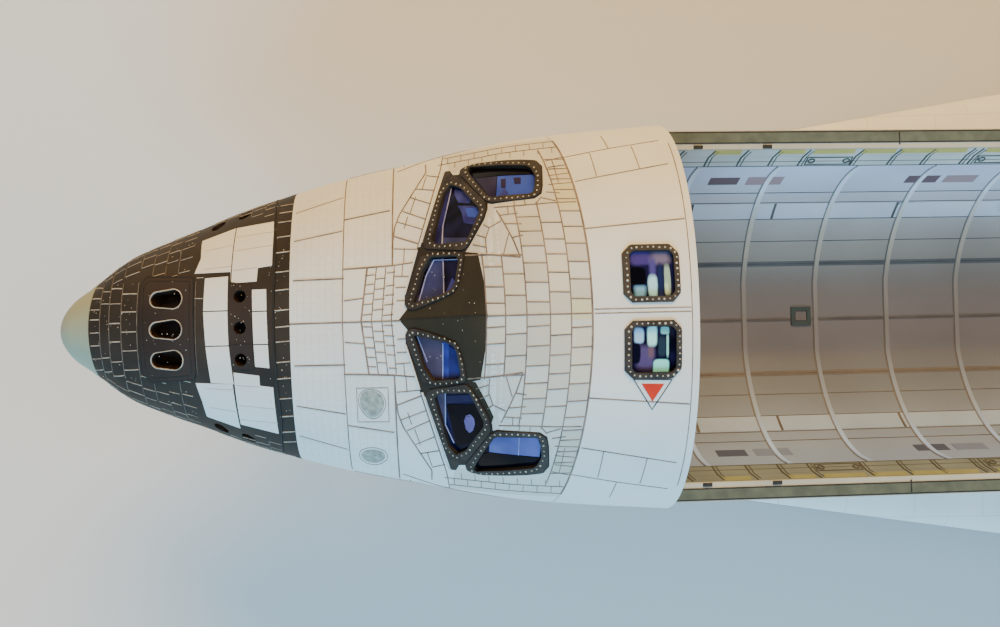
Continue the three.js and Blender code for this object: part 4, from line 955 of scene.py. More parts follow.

# Painted reflections in the panes, the darkest ones painted shade, on each side: tone, then stations and
# buttlines.
PAINTED_REFLECTIONS = {
    "starboard": [
        ("slate", [(446.5, 7.5), (450.4, 14.3), (456.4, 31.5), (462.2, 31.5), (462, 11)]),
        ("violet", [(462.6, 12), (466.4, 20.6), (468.6, 17), (468, 13.5)]),
        ("deep", [(468.8, 71.5), (465.8, 69), (458, 41.5), (458.5, 38.5), (462, 38.5), (463, 49.1),
                  (466.7, 63.7)]),
        ("violet",
         [(469.9, 70.5), (473.6, 68.5), (477.6, 62.8), (476.9, 60.1), (471.4, 61.4), (469.6, 66.2)]),
        ("violet", [(470.9, 59.6), (478.3, 58.4), (482.4, 55), (481.6, 51), (478.2, 47.5), (473.4, 49.3),
                    (472.7, 55.1)]),
        ("azure", [(474.5, 57.5), (479.5, 57), (481, 54), (479, 51.5), (475.4, 52.5)]),
        ("slate", [(462.4, 38), (463, 42.5), (475.8, 40.8), (476, 38)]),
        ("ink", [(477.5, 81), (509.5, 77.5), (509.8, 73), (481, 74.6)]),
        ("dusk", [(481, 74.4), (491.3, 73.6), (489.2, 60), (486.2, 62)]),
        ("azure", [(491.6, 73.5), (510.4, 72.4), (509.2, 60.4), (489.6, 60)]),
        ("dusk", [(493, 71.5), (495.6, 71.5), (495, 66), (492.8, 66)]),
        ("dusk", [(499.4, 71.6), (503, 71.4), (502.6, 67.6), (499.6, 67.8)]),
        ("violet", [(490.2, 60.5), (494.4, 66), (496, 63), (495, 60.2)]),
    ],
    "port": [
        ("haze", [(446.5, -7.5), (453, -25), (456.5, -31.9), (461, -32), (461.2, -11)]),
        ("violet", [(461.3, -12), (464, -12.6), (463.8, -32), (461.2, -32)]),
        ("deep", [(464, -14.6), (467.4, -17), (469.4, -19), (471, -30.5), (469.6, -32), (463.9, -32)]),
        ("haze", [(457.6, -40), (459, -38), (462.2, -38), (462.4, -56), (460.8, -52.9)]),
        ("dusk", [(462.9, -40.4), (475.5, -39.4), (477, -43), (462.9, -44.5)]),
        ("ink", [(462.9, -45), (479, -44.5), (481.5, -54), (474, -66), (468, -68)]),
        ("lilac", [(471.6, -53.5), (472.6, -50.6), (474.6, -49.8), (476.4, -52), (476.9, -55), (476, -58.6),
                   (474.4, -60), (472.6, -58)]),
        ("blue", [(484, -63.2), (486.4, -60.4), (499, -60.3), (507, -60.6), (509.2, -66.2), (509, -71.9),
                  (484.3, -69.9)]),
        ("ink", [(480, -72), (484.3, -70.2), (509.4, -72.2), (508.8, -78), (478, -81)]),
    ],
}
# Thin painted highlights in the glass along the film's folds and edges: width, then stations and buttlines.
GLASS_HIGHLIGHTS = {
    "starboard": [
        (0.28, [(449.6, 9), (453.6, 22.5), (457.8, 30.8), (470, 29.8)]),
        (0.28, [(462.2, 12.4), (462.4, 31)]),
        (0.26, [(468.4, 70.5), (466.7, 63.7), (463, 49.1), (462.2, 39)]),
    ],
    "port": [
        (0.28, [(448.6, -9), (453.4, -22.5)]),
        (0.28, [(461.3, -13), (461.1, -31.4)]),
        (0.26, [(462.3, -39), (462.4, -56), (466.8, -66)]),
        (0.3, [(498.6, -60.6), (498.8, -71)]),
    ],
}


def window_set(prefix, side_name, outline, panes, rings, glass):
    turned = mirrored if side_name == "port" else list
    flat_panes = [plan(turned(rounded(pane, 0.9, 3))) for pane in panes]
    raised = [slab(plan(turned(rounded(ring, 1.2, 3))), FRAME_TOP - 0.3, RING_TOP, [pane])
              for ring, pane in zip(rings, flat_panes)]
    dots = []
    for pane in panes:
        for x, y in beads(rounded(grown(pane, 1.45), 1.6), RIVET_PITCH):
            spot = (x + chance.uniform(-0.2, 0.2), y + chance.uniform(-0.2, 0.2))
            seat = perch(skin, from_plan(turned([spot])), RING_TOP)
            dots.append(dome(*seat, chance.uniform(0.4, 0.64), 0.25, 6))
    flat = plan(turned(outline))
    frame_card = slab(flat, GLASS_TOP + 0.1, FRAME_TOP, flat_panes)
    piece(f"{prefix}_card_{side_name}", [frame_card], FRAME_MAT, "frame_card",
          replaces=[f"{prefix}_frame_{side_name}"])
    piece(f"{prefix}_rings_{side_name}", raised, RING_MAT, "frame_card")
    piece(f"{prefix}_glass_skin_{side_name}", [slab(flat, GLASS_BOTTOM, GLASS_TOP)], glass, "glass_film",
          replaces=[f"{prefix}_glass_{side_name}"])
    piece(f"{prefix}_rivets_{side_name}", dots, RIVET, "frame_card")


for side_name in SIDES:
    window_set("windshield", side_name, WINDSHIELD, PANES, RINGS, NAVY)
    reflecting_glass = glazing(f"overhead_glass_{side_name}", NAVY_STOPS, reflections=OVERHEAD_REFLECTIONS[side_name])
    window_set("overhead", side_name, OVERHEAD, [OVERHEAD_PANE], [OVERHEAD], reflecting_glass)
    # Painted reflections and painted shade laid in the glass as thin coloured shapes.
    reflection_tones = list(REFLECTION_TONES)
    shapes = [painted(slab(plan(outline), GLASS_TOP - 0.2, GLASS_TOP + 0.06 + SHAPE_STEP * k),
                      reflection_tones.index(tone))
              for k, (tone, outline) in enumerate(PAINTED_REFLECTIONS[side_name])]
    # Painted highlights along folds and edges of the glass.
    shapes += [painted(bar(plan(path, False, 2.5), width, GLASS_TOP - 0.2, GLASS_TOP + 0.6),
                       reflection_tones.index("edge"))
               for width, path in GLASS_HIGHLIGHTS[side_name]]
    piece(f"window_mirror_shapes_{side_name}", shapes, list(REFLECTION_TONES.values()), "glass_film", sharp=60)

# Black card between the windows, drawn to a point on the centre
# line, and the dark band where the white card starts.
BLACK_PATCH = [(440, 0), (444.5, 5.5), (448.5, 5.2), (460, 9.6), (468.4, 13.6), (470.9, 21), (472.6, 30.5),
               (473, 33), (480, 31.4), (482.5, 15), (483.5, 0)]
WINDOW_GAP = [(443.9, 13), (450.4, 36.6), (455.4, 37), (454, 34), (445.2, 12)]
# A dark wedge beside the port mid ring: black card, drawn on along the ring as a painted shadow.
PORT_CARD_AND_SHADOW = [(473, -32), (477.8, -32.6), (482.6, -42), (486.4, -50), (485.4, -54), (480, -44), (475, -36)]
patches = [slab(plan(BLACK_PATCH + mirrored(BLACK_PATCH[-2:0:-1])), -0.3, 0.16)]
patches += [slab(plan(outline), -0.3, 0.14) for outline in (WINDOW_GAP, mirrored(WINDOW_GAP), PORT_CARD_AND_SHADOW)]
piece("windshield_black_card", patches, PATCH, "black_tile")
lines("patch_centre_line", [(0.5, [(441, 0.2), (483.5, 0.2)])], BLACK_LINE, "black_tile")
band_turns = np.linspace(-math.pi * COURSE_END, math.pi * COURSE_END, 90)
band = [(NOSE_SEAM - 1.0, t) for t in band_turns] + [(381.0, t) for t in band_turns[::-1]]
piece("cockpit_front_band", [slab(band, -0.3, 0.16)], TILE, "black_tile")
TICKS = (-66, -60, -51, -41, -30, -21, -10, -2, 7, 18, 28, 39, 48, 57, 63, 68)
tick_rows = [(0.7, [(373.2, y), (380.8, y + 0.5)]) for y in TICKS]
lines("band_ticks", tick_rows, PALE_LINE, "black_tile", low=0.0, high=0.32)


def bowed(station, y):
    return station - TILE_BOW * y * y


# Tile columns behind the windows: front and rear station on the
# centre line, and the buttlines of the joints in each.
TILE_COLUMNS = [
    (483, 492, (6, 14, 24)),
    (492, 502, (9.5, 20, 29.5)),
    (502, 513, (6, 15.5, 25, 33.5, 41, 48.5)),
    (513, 523, (10.5, 20, 29, 36.5, 45)),
    (523, 533, (7, 16.5, 25, 34, 42.5, 50.5, 57, 62, 68, 74, 80)),
]
COLUMN_ENDS = [(483, 31), (492, 30), (502, 55), (513, 56), (523, 86), (533, 93)]
# Creamier card of the tiles behind the windows, starboard outline.
TILE_FIELD = [(483.6, 0), (482.6, 15), (480, 31.6), (474.4, 33.4), (476.2, 35.2), (484.6, 49), (486.2, 57),
              (488.6, 56.8), (509, 58), (512.4, 60.4), (514.2, 76), (512, 79.8), (482, 82.6), (477, 81.8),
              (470.4, 79.5), (468, 82), (466, 94)]
field = TILE_FIELD + [(bowed(TILE_SEAM - 0.7, y), y) for y in np.linspace(95, 0, 24)]
plates("tile_field_card", (field, mirrored(field)), 0.04, TILE_WHITE)
tile_joints = [(0.6, [(bowed(front, y), y), (bowed(rear, y), y - 0.4)])
               for front, rear, marks in TILE_COLUMNS for y in marks]
tile_joints += [(0.7 if station < 533 else 1.1, [(bowed(station, y), y) for y in np.linspace(0, end, 12)])
                for station, end in COLUMN_ENDS]
# Joints round the windows and in front of them, starboard side, by their width in inches.
WINDOW_JOINTS = {
    0.9: ([(473, 31), (487, 29.8), (500, 28)], [(438, 88), (437.4, 60), (437, 29)]),
    0.7: (
        [(489, 54.5), (499, 54.5), (516, 55), (528.5, 55)],
        [(490, 53), (494, 44), (497, 37), (500, 28)],
        [(466, 94), (464, 83), (457, 60), (451, 40), (450, 36), (446, 21), (444, 12), (445, 6)],
        [(438, 29), (448, 30)],
    ),
    1.0: ([(410, 28), (424, 28.4), (438, 29)], [(423.5, 28), (421.5, 12), (420, 0)]),
    0.8: (
        [(456, 88), (456, 82), (448.5, 69.5), (441, 57), (438.5, 50), (437.4, 42), (437, 29)],
        [(438, 45), (451, 40)],
        [(411, 56), (436, 60)],
        [(383, 23), (411, 23)],
    ),
    0.6: (
        [(493.5, 45.5), (501.5, 44.8)],
        [(496.5, 38), (501.8, 39)],
        [(450, 72), (460, 70)],
        [(443, 59), (456, 53)],
        [(383, 45), (410, 49.5)],
        [(411, 11), (421, 12)],
        [(411, 83), (410.6, 40), (410, 0)],
        [(428.5, 28), (426.5, 10), (425.5, 0)],
        [(433.5, 28), (432, 12), (431, 0)],
        [(438, 28), (437, 12), (436, 0)],
    ),
    0.5: (
        [(483.5, 46), (486, 44), (492, 47)],
        [(486, 44), (484, 38), (484.3, 31)],
        [(495, 40), (492, 29.5)],
        [(480, 41), (484, 39)],
        [(478, 36), (484, 34)],
        [(491, 50), (500, 50.5)],
        [(495.5, 50.2), (495.5, 54.5)],
        [(499, 54.6), (498.5, 58)],
        [(504, 54.8), (503.8, 58)],
        [(509, 55), (512, 58.5)],
        [(512, 58), (518.5, 56)],
        [(514.5, 61), (521, 60)],
        [(516, 65), (528, 65.5)],
        [(516.5, 70), (527, 71)],
        [(517, 75), (526, 76)],
        [(516, 79), (525.5, 81)],
        [(521, 66), (519.5, 80)],
        [(456, 80), (463, 78)],
        [(447, 67), (458, 62)],
        [(440, 53), (453, 48)],
        [(438, 38), (450, 37)],
        [(438, 23), (446.5, 22.5)],
        [(438.5, 17), (445.2, 17)],
        [(439, 10), (444, 10)],
        [(456, 79), (453.5, 71)],
        [(450, 67), (447, 58)],
        [(445.5, 55.5), (443.5, 49)],
        [(443.5, 38), (443, 30)],
        [(442.5, 29), (442, 23)],
    ),
    0.4: ([(383, 62), (410, 70)],),
}
# Small tiles in front of the black point: station of each column, and the buttlines of its joints.
SMALL_COLUMNS = [(420, 426, (3, 8.5, 14, 19, 24)),
                 (426, 432, (5.5, 11, 16.5, 22)),
                 (431.5, 437, (2.5, 8, 13, 18, 25))]
small_joints = [(0.5, [(front + y * 0.1, y), (rear + y * 0.06, y + 0.4)])
                for front, rear, marks in SMALL_COLUMNS for y in marks]

# Rows of small tiles outboard of the side windows, which drift outwards to the rear.
for y, front, rear in ((87, 463, 524), (91.5, 466, 524)):
    small_joints.append((0.45, [(x, y + (x - 490) * 0.03) for x in range(front, rear, 4)]))
for x in range(468, 524, 7):
    drift = (x - 490) * 0.03
    small_joints.append((0.4, [(x, 87 + drift), (x + 0.5, 91.5 + drift)]))
    small_joints.append((0.4, [(x + 3.5, 83.4 + drift), (x + 4, 87 + drift)]))
lines("cockpit_joints", both(tile_joints + spread(WINDOW_JOINTS) + small_joints), BROWN_LINE)
lines("centre_joints", [(0.8, [(381, -0.5), (441, -0.5)]), (0.8, [(483.5, -0.3), (533, -0.3)])], BROWN_LINE)

# Cards with a faint quilted print, and single tiles of another shade.
QUILTS = [
    [(382.5, 24), (409.5, 24), (409.8, 48), (382.5, 44)],
    [(382.5, 46), (409.8, 50), (410, 69), (382.5, 61)],
    [(382.5, 63), (410, 71), (410.5, 84), (382.5, 76)],
    [(382, 0.3), (409.5, 0.3), (409.5, 22), (382.5, 22)],
    [(411.5, 57), (436.5, 61), (437, 90), (411.5, 84.5)],
    [(411.5, 29.5), (436.5, 30.2), (436.5, 59), (411.5, 55)],
]
plates("quilt_cards", QUILTS + [mirrored(outline) for outline in QUILTS], 0.08, QUILT)
shaded, deep = [], []
for front, rear, marks in TILE_COLUMNS:
    edges = (0.3, *marks)
    for near, far in zip(edges, edges[1:]):
        for sign in SIDES.values():
            pick = chance.random()
            if pick < 0.55:
                corners = [(bowed(front, near) + 0.5, near + 0.4), (bowed(rear, near) - 0.5, near + 0.4),
                           (bowed(rear, far) - 0.5, far - 0.4), (bowed(front, far) + 0.5, far - 0.4)]
                (deep if pick < 0.22 else shaded).append(corners if sign > 0 else mirrored(corners))
plates("shaded_tiles", shaded, 0.1, TILE_DEEP)
plates("deep_tiles", deep, 0.1, CREAM)
YELLOW_TILES = [rectangle(523.3, 532.6, -3, 7), [(519, 53), (528, 53.4), (526.6, 66), (518, 65.5)]]
plates("yellow_tiles", YELLOW_TILES, 0.13, YELLOW)

# Cabin roof: joints of the large panels, the line inside the rim, and the fittings behind the windows.
ROOF_JOINTS = {
    0.7: ([(531.5, 41), (580, 45)],),
    0.6: ([(529, 66), (553, 70.5), (577, 75)],),
    0.5: ([(525, 80.5), (550, 85.5), (576, 90)], [(548, 95), (549, 85.5)], [(561, 86.5), (562, 72.5)],
          [(539, 82.5), (540, 68.5)]),
}
roof_rows = both(spread(ROOF_JOINTS)) + [(0.5, [(580.5, y) for y in np.linspace(-88, 88, 60)])]
roof_rows += [(0.5, [(534, y), (580, y)]) for y in (1.6, -0.4)]
lines("roof_joints", roof_rows, BROWN_LINE, high=0.22)
PAPER_EDGES = [(1.1, [(466.2, 81.5), (464.2, 78), (452.4, 40.6), (451.6, 38)]),
               (0.8, [(450.4, 36.4), (449.6, 33.4), (443.5, 13)])]
lines("front_paper_edges", both(PAPER_EDGES), WHITE, high=0.9)

# Two grey fittings of the star trackers on the port side, one in a square outline.
SPECKLED = card("speckled_card", (0.36, 0.36, 0.3), (0.16, 0.17, 0.15), mottle=1500, specks=0.1)
BADGE = [(419, -38), (424, -36.8), (429.5, -38.5), (431.6, -44), (429, -50), (424.5, -52), (420, -48.5),
         (417.8, -43)]
LOW_BADGE = [(418, -71), (424, -69.6), (430, -71.5), (431, -75), (426, -78.4), (420, -77.5), (417, -74)]
plates("star_tracker_cards", [rounded(outline, 3) for outline in (BADGE, LOW_BADGE)], 0.35, SPECKLED)
BADGE_LINES = ((0.4, rectangle(416.5, 433.5, -35.5, -54)), (0.4, rounded(grown(LOW_BADGE, 1.2), 3)),
               (0.35, rounded(grown(BADGE, 0.8), 3)))
lines("star_tracker_outlines", [(width, looped(outline)) for width, outline in BADGE_LINES], BROWN_LINE)

# Plain red warning triangle on the port side.
RED = card("red_print", (0.56, 0.032, 0.009), (0.46, 0.024, 0.008), mottle=300, specular=0.15)
TRIANGLE = [(552.3, -32.4), (570.8, -32.9), (561.8, -47.2)]
plates("red_triangle", [grown(TRIANGLE, -2.1)], 0.3, RED, low=-0.2)
lines("triangle_outline", [(0.5, looped(TRIANGLE))], BLACK_LINE)

# Sides of the cockpit and cabin below the camera's reach: joints, and the round crew hatch on the port side.
SIDE_ROWS = [[(383, 352), (583, 352)],
             [(412, 376), (583, 376)],
             [(440, 398), (583, 398)],
             [(400, 330), (583, 326)]]
SIDE_ROWS += [[(x, 326), (x, min(398, 330 + (x - 384)))] for x in range(404, 583, 20)]
side_joints = [bar(from_side(fine(row, 3), sign), 0.55, -0.25, 0.3) for row in SIDE_ROWS
               for sign in SIDES.values()]
piece("cabin_side_joints", side_joints, BROWN_LINE, "white_card", sharp=60)
HATCH = (492, 362)
HATCH_RADIUS, HATCH_SIDES = 20, 48
HATCH_RINGS = ((HATCH_RADIUS, 1.0), (17.5, 0.5), (5.4, 1.2))
hatch_card = slab(from_side(circle(*HATCH, HATCH_RADIUS, HATCH_SIDES), -1), -0.3, 0.5)
piece("crew_hatch_card", [hatch_card], WHITE, "white_card")
hatch_rings = [bar(from_side(looped(circle(*HATCH, radius, HATCH_SIDES)), -1), width, -0.2, 0.8)
               for radius, width in HATCH_RINGS]
piece("crew_hatch_rings", hatch_rings, BLACK_LINE, "white_card", sharp=60)
piece("crew_hatch_glass", [slab(from_side(circle(*HATCH, 5), -1), 0.3, 0.62)], NAVY, "glass_film")

# Payload bay and the mid fuselage round it.
BAY_FRONT = CABIN_RIM + 1.2
BAY_END = 1306
BAY_HALF, BAY_BELLY, BAY_CORNER = 103.5, 279, 26
WALL_TOP, SILL_TOP = 404, 414
LINER_HALF, LINER_DEPTH, LINER_CENTRE = 86, 88, 398
LINER_FLOOR, LINER_RIM, LINER_WALL = 313, 396, 2.4
BELLY_HEIGHT = 303
BAY_RUN = (BAY_FRONT + 0.5, BAY_END - 0.5)


def trough(inset):
    half, floor, corner = BAY_HALF - inset, BAY_BELLY + inset, BAY_CORNER - inset
    side = [(-half, WALL_TOP), (-half, BELLY_HEIGHT + 2)]
    side += [(corner - half + y, floor + corner + z) for y, z in arc(corner, 180, 270, 12)]
    return side + [(-y, z) for y, z in side[::-1]]


# White above, black tiles below the belly line.
def belly_below(heights):
    return 1 if sum(heights) / len(heights) < BELLY_HEIGHT + 2.5 else 0


mid_body = long_prism(trough(0) + trough(3.9)[::-1], BAY_FRONT, BAY_END, belly_below)
piece("mid_fuselage_skin", [mid_body], [SIDE_WHITE, BELLY], "white_card", replaces=["mid_fuselage"])
SIDE_STATIONS = [BAY_FRONT + 59.5 * k for k in range(1, 13)]
SIDE_FACE = about(BAY_HALF, 0.3)
side_marks = [block(about(x, 0.35), SIDE_FACE, (306, 402)) for x in SIDE_STATIONS]
side_marks += [block(BAY_RUN, SIDE_FACE, about(z, 0.3)) for z in (338, 370, 397)]
pair("mid_side_lines", side_marks, BROWN_LINE, "white_card")
vents = [block(about(x, 8), (BAY_HALF - 0.3, BAY_HALF + 0.45), (379, 388))
         for x in (640, 752, 880, 1000, 1122, 1246)]
pair("mid_side_vents", vents, BLACK_LINE, "white_card")


# Point of the liner: the turn is 0 on the keel line and grows up the starboard wall.
def liner_at(station, turn):
    z = np.clip(LINER_CENTRE - LINER_DEPTH * np.cos(turn), LINER_FLOOR, LINER_RIM)
    return np.stack([station, LINER_HALF * np.sin(turn), z], axis=-1)


def liner_curve(wall, steps=64):
    reflections = [(-(LINER_HALF + wall) * a, LINER_CENTRE - (LINER_DEPTH + wall) * b)
             for a, b in arc(1, 0, 180, steps)]
    return [(y, max(min(z, LINER_RIM), LINER_FLOOR - wall)) for y, z in reflections]


liner = sheet(liner_at, steps=(0.05, 0.004))


# Turn on the liner's wall for a buttline.
def wall_turn(y):
    return math.asin(y / LINER_HALF)


# Card whose colour changes with height, from the floor of the bay to its rim, darker towards the floor as
# painted shade, and is tinted from port to starboard as painted light.
def shaded_height_card(name, stops, light_tints, mottle=60.0, roughness=0.55):
    material, tree = new_material(name, roughness)
    split = node(tree, "SeparateXYZ", {"Vector": place_node(tree)})
    # Painted shade: the colour goes by height through the given stops, darker towards the floor of the bay.
    colour = ramp(tree, between(tree, split.outputs["Z"], (312 - GROUND) * INCH, (392 - GROUND) * INCH),
                  stops)
    cloudy = ramp(tree, noise(tree, mottle, 5.0), [(0.3, (0.86, 0.84, 0.84)), (0.7, (1.0, 1.0, 1.0))])
    # Painted light: a tint from port to starboard that stands in for the warm and cool lamps.
    across = ramp(tree, between(tree, split.outputs["Y"], -70 * INCH, 70 * INCH), light_tints)
    for tint in (cloudy, across):
        colour = blended(tree, 1.0, colour, tint, "MULTIPLY")
    return covered(material, tree, colour, 1800.0, 2.0, 0.2, 0.00006)


# Liner: painted shade darkens it towards the floor, and painted light tints it cooler to port and warmer and
# brighter to starboard.
SHADED_LINER = shaded_height_card("liner_card",
                    [
                        (0.0, (0.148, 0.134, 0.125)),
                        (0.14, (0.165, 0.152, 0.143)),
                        (0.42, (0.27, 0.26, 0.27)),
                        (1.0, (0.365, 0.39, 0.49)),
                    ],
                    [
                        (0.0, (0.68, 0.86, 1.15)),
                        (0.25, (0.76, 0.93, 1.24)),
                        (0.45, (1.08, 1.1, 1.22)),
                        (0.6, (1.35, 1.24, 1.12)),
                        (0.8, (2.1, 1.75, 1.45)),
                        (1.0, (1.75, 1.48, 1.38)),
                    ])
# Ribs: the same painted shade towards the floor and painted light tint across the bay as the liner.
SHADED_RIB = shaded_height_card("rib_card",
                  [(0.0, (0.2, 0.175, 0.145)), (0.25, (0.28, 0.25, 0.21)), (0.6, (0.42, 0.43, 0.46))],
                  [
                      (0.0, (0.78, 1.08, 1.8)),
                      (0.25, (0.82, 1.08, 1.7)),
                      (0.5, (1.05, 1.08, 1.15)),
                      (0.8, (2.1, 1.72, 1.45)),
                      (1.0, (1.7, 1.48, 1.42)),
                  ])
# Printed wall panels, tinted across the bay by painted light.
PALE_PANEL = shaded_height_card("bay_panel_card", [(0.0, (0.3, 0.3, 0.31)), (0.6, (0.41, 0.43, 0.47))],
                         [(0.0, (0.7, 0.88, 1.16)), (1.0, (1.5, 1.32, 1.26))], mottle=120)
# Painted light for the slots' print: cooler to port, warmer to starboard.
SLOT_LIGHT_TINTS = [(0.0, (0.7, 0.95, 1.4)), (1.0, (1.7, 1.05, 0.9))]
BAY_LINE = card("bay_print", (0.12, 0.1, 0.09), (0.065, 0.055, 0.05), mottle=260)
# Soft brown print of the keel fittings' centres, also used as painted shade in front of the ribs.
SOFT_PRINT_AND_SHADE = card("bay_soft_print_and_shade", (0.16, 0.135, 0.12), (0.11, 0.09, 0.08), mottle=200)
BAY_SHADE = shaded_height_card("bay_shade_print", [(0.0, (0.16, 0.15, 0.17)), (1.0, (0.22, 0.21, 0.24))], SLOT_LIGHT_TINTS)
BAY_BLUR = card("bay_blur_print", (0.15, 0.132, 0.12), (0.105, 0.09, 0.085), mottle=120)
BAY_DARK = shaded_height_card("bay_dark_print", [(0.0, (0.07, 0.062, 0.076)), (1.0, (0.09, 0.08, 0.1))], SLOT_LIGHT_TINTS)

liner_section = liner_curve(LINER_WALL) + liner_curve(0)[::-1]
piece("bay_liner_skin", [long_prism(liner_section, BAY_FRONT, BAY_END)], SHADED_LINER, "liner_card",
      replaces=["bay_liner"])

# Ribs of the bay, every 47.6 inches.
RIB_PITCH = 47.6
RIBS = [614.4 + RIB_PITCH * k for k in range(15)]
RIM_TURN = math.acos((LINER_CENTRE - LINER_RIM) / LINER_DEPTH) - 0.01


def rib_path(station, turns=(-RIM_TURN, RIM_TURN), count=61):
    return [(station, t) for t in np.linspace(*turns, count)]


piece("bay_ribs", [bar(rib_path(x), 3.4, -0.3, 0.6, liner) for x in RIBS], SHADED_RIB, "liner_card", sharp=50)
# Painted shade: a soft dark line along the front side of each rib.
piece("bay_rib_painted_shade", [bar(rib_path(x - 1.9), 0.7, -0.3, 0.2, liner) for x in RIBS], SOFT_PRINT_AND_SHADE, "liner_card",
      sharp=60)
# Long lines of the bay: buttline and width.
FLOOR_LINES = ((35, 1.2), (-1, 1.0), (-36, 1.2))
WIDE_LINES = ((35, 4.0), (-1, 3.0), (-36, 4.0))
FINE_LINES = ((62, 0.5), (-62, 0.5), (49, 0.4), (-49, 0.4), (76, 0.5), (-76, 0.5), (71, 0.5), (-71, 0.5))
bay_stations = np.linspace(BAY_FRONT + 1, BAY_END - 1, 60)
for name, rows, ink, high in (("bay_floor_lines", FLOOR_LINES, BAY_LINE, 0.3),
                              ("bay_lines", FINE_LINES, BAY_LINE, 0.3),
                              ("bay_wide_lines", WIDE_LINES, BAY_BLUR, 0.18)):
    parts = [bar([(x, wall_turn(y)) for x in bay_stations], width, -0.3, high, liner) for y, width in rows]
    piece(name, parts, ink, "liner_card", sharp=60)

# Wall panels between two lines, parted by dark bars, and dark
# slots under the rim. The pattern repeats along the bay.
PANEL_TURNS = (wall_turn(62.2), wall_turn(70.4))
PANEL_BARS = (621.5, 674, 752.5)
PATTERN = 214.2
# Slots: front and rear station, buttline, width, and whether it is the darker one.
SLOTS = ((626, 644, 81.6, 9.0, True), (649, 671, 81.6, 10.0, False), (748, 768, 81.6, 9.0, True),
         (772, 792, 81.6, 9.0, False))
PANEL_CELL = (30.0, 0.05)
panels, bars, slots, dark_slots = [], [], [], []
for repeat in range(4):
    shift = PATTERN * repeat
    edges = [station + shift for station in (*PANEL_BARS, PANEL_BARS[0] + PATTERN)]
    for sign in SIDES.values():
        low, high = (sign * t for t in PANEL_TURNS)
        for front, rear in zip(edges, edges[1:]):
            if rear < BAY_END - 4:
                panels.append(slab(rectangle(front, rear, low, high), -0.3, 0.14, surface=liner,
                                   cell=PANEL_CELL))
                bars.append(bar([(front, t) for t in np.linspace(low, high, 6)], 1.8, -0.3, 0.4, liner))
        for front, rear, y, width, dark in SLOTS:
            if rear + shift < BAY_END - 4:
                low, high = (sign * t for t in about(wall_turn(y), width / 2 / LINER_HALF))
                outline = rectangle(front + shift, rear + shift, low, high)
                group = dark_slots if dark else slots
                group.append(slab(outline, -0.3, 0.2, surface=liner, cell=PANEL_CELL))
for name, parts, ink in (("wall_panels", panels, PALE_PANEL), ("wall_bars", bars, BAY_LINE),
                         ("wall_slots", slots, BAY_SHADE), ("dark_slots", dark_slots, BAY_DARK)):
    piece(f"bay_{name}", parts, ink, "liner_card")

# Keel fittings: a dark square frame on the floor.
KEEL_STATIONS = (699.5, 985.1, 1127.9)
KEEL_FOOT = LINER_FLOOR - 0.5
keel_parts = []
for x in KEEL_STATIONS:
    for side in SIDES.values():
        keel_parts.append(block(about(x, 6.5), about(1 + side * 4.7, 1.3), (KEEL_FOOT, LINER_FLOOR + 1.4)))
        keel_parts.append(block(about(x + side * 5.2, 1.3), (-2.4, 4.4), (KEEL_FOOT, LINER_FLOOR + 1.2)))
KEEL_CARD = card("keel_print", (0.047, 0.065, 0.06), (0.031, 0.043, 0.04), mottle=300)
piece("keel_fittings", keel_parts, KEEL_CARD, "liner_card", sharp=30)
centres = [block(about(x, 3.6), (-2, 4), (KEEL_FOOT, LINER_FLOOR + 0.7)) for x in KEEL_STATIONS]
piece("keel_fitting_centres", centres, SOFT_PRINT_AND_SHADE, "liner_card", sharp=30)

# Sills: a flat top with a lip that leans in to the liner.
SILL_OUTLINE = [(103.5, 414), (103.5, 405.2), (91.5, 405.2), (88.2, 397.3), (85.8, 398), (90, 407), (93, 414)]
SILL_LIP = np.array([(85.8, 398), (90, 407), (93, 414)])
SILL_GREEN = card("sill_green_card", (0.098, 0.108, 0.074), (0.06, 0.068, 0.048), mottle=500, specks=0.05)
SILL_EDGE = card("sill_edge_card", (0.4, 0.38, 0.3), (0.33, 0.31, 0.25))
# The lip's card and its yellow print come in a copy for each side with painted light: the starboard copies
# are warmer and brighter, the port copies cooler and darker.
SILL_LIP_PAINTED_LIGHT = {"starboard": card("sill_wall_card", (0.54, 0.46, 0.4), (0.46, 0.39, 0.34), mottle=160),
              "port": card("sill_cream_card", (0.155, 0.18, 0.18), (0.12, 0.14, 0.14), mottle=160)}
SILL_YELLOWS_PAINTED_LIGHT = {"starboard": card("sill_yellow_print", (0.52, 0.37, 0.1), (0.43, 0.31, 0.085), mottle=300),
                "port": card("sill_gold_print", (0.24, 0.245, 0.12), (0.19, 0.195, 0.095), mottle=300)}
TICK_PRINT = card("tick_print", (0.08, 0.078, 0.068), (0.05, 0.05, 0.044), mottle=400)


# Point of the sill's inner lip: the share is 0 at its foot and 2 at its top.
def lip_at(station, share):
    y, z = (np.interp(share, (0, 1, 2), SILL_LIP[:, i]) for i in (0, 1))
    return np.stack([station, y, z], axis=-1)


lip = sheet(lip_at, steps=(0.05, 0.01))
LIP_CELL = (60.0, 3.0)
pair("sill_skin", [long_prism(SILL_OUTLINE, BAY_FRONT, BAY_END)], SILL_EDGE, "sill_card",
     replaces=["sill_{}"])
pair("sill_green_strip", [block(BAY_RUN, (96.6, 102.2), (SILL_TOP - 0.5, SILL_TOP + 0.25))], SILL_GREEN,
     "sill_card")
lip_wall = [slab(rectangle(*BAY_RUN, *shares), -0.3, 0.2, surface=lip, cell=LIP_CELL)
            for shares in ((0.04, 0.99), (1.01, 1.9))]
pair("sill_lip_card", lip_wall, SILL_LIP_PAINTED_LIGHT, "sill_card")
outer_lines = [block(BAY_RUN, about(y, 0.35), (SILL_TOP - 0.5, SILL_TOP + 0.3)) for y in (96.4, 102.6)]
pair("sill_edge_lines", outer_lines, BLACK_LINE, "sill_card")

# Print on the lip, repeated along the bay: frame ticks, latch
# boxes with a round boss at each end, yellow dashes.
SILL_PATTERN = 101.5
TICKS_AT = (599, 617, 636, 654.5, 672, 703, 725, 745, 768.5)
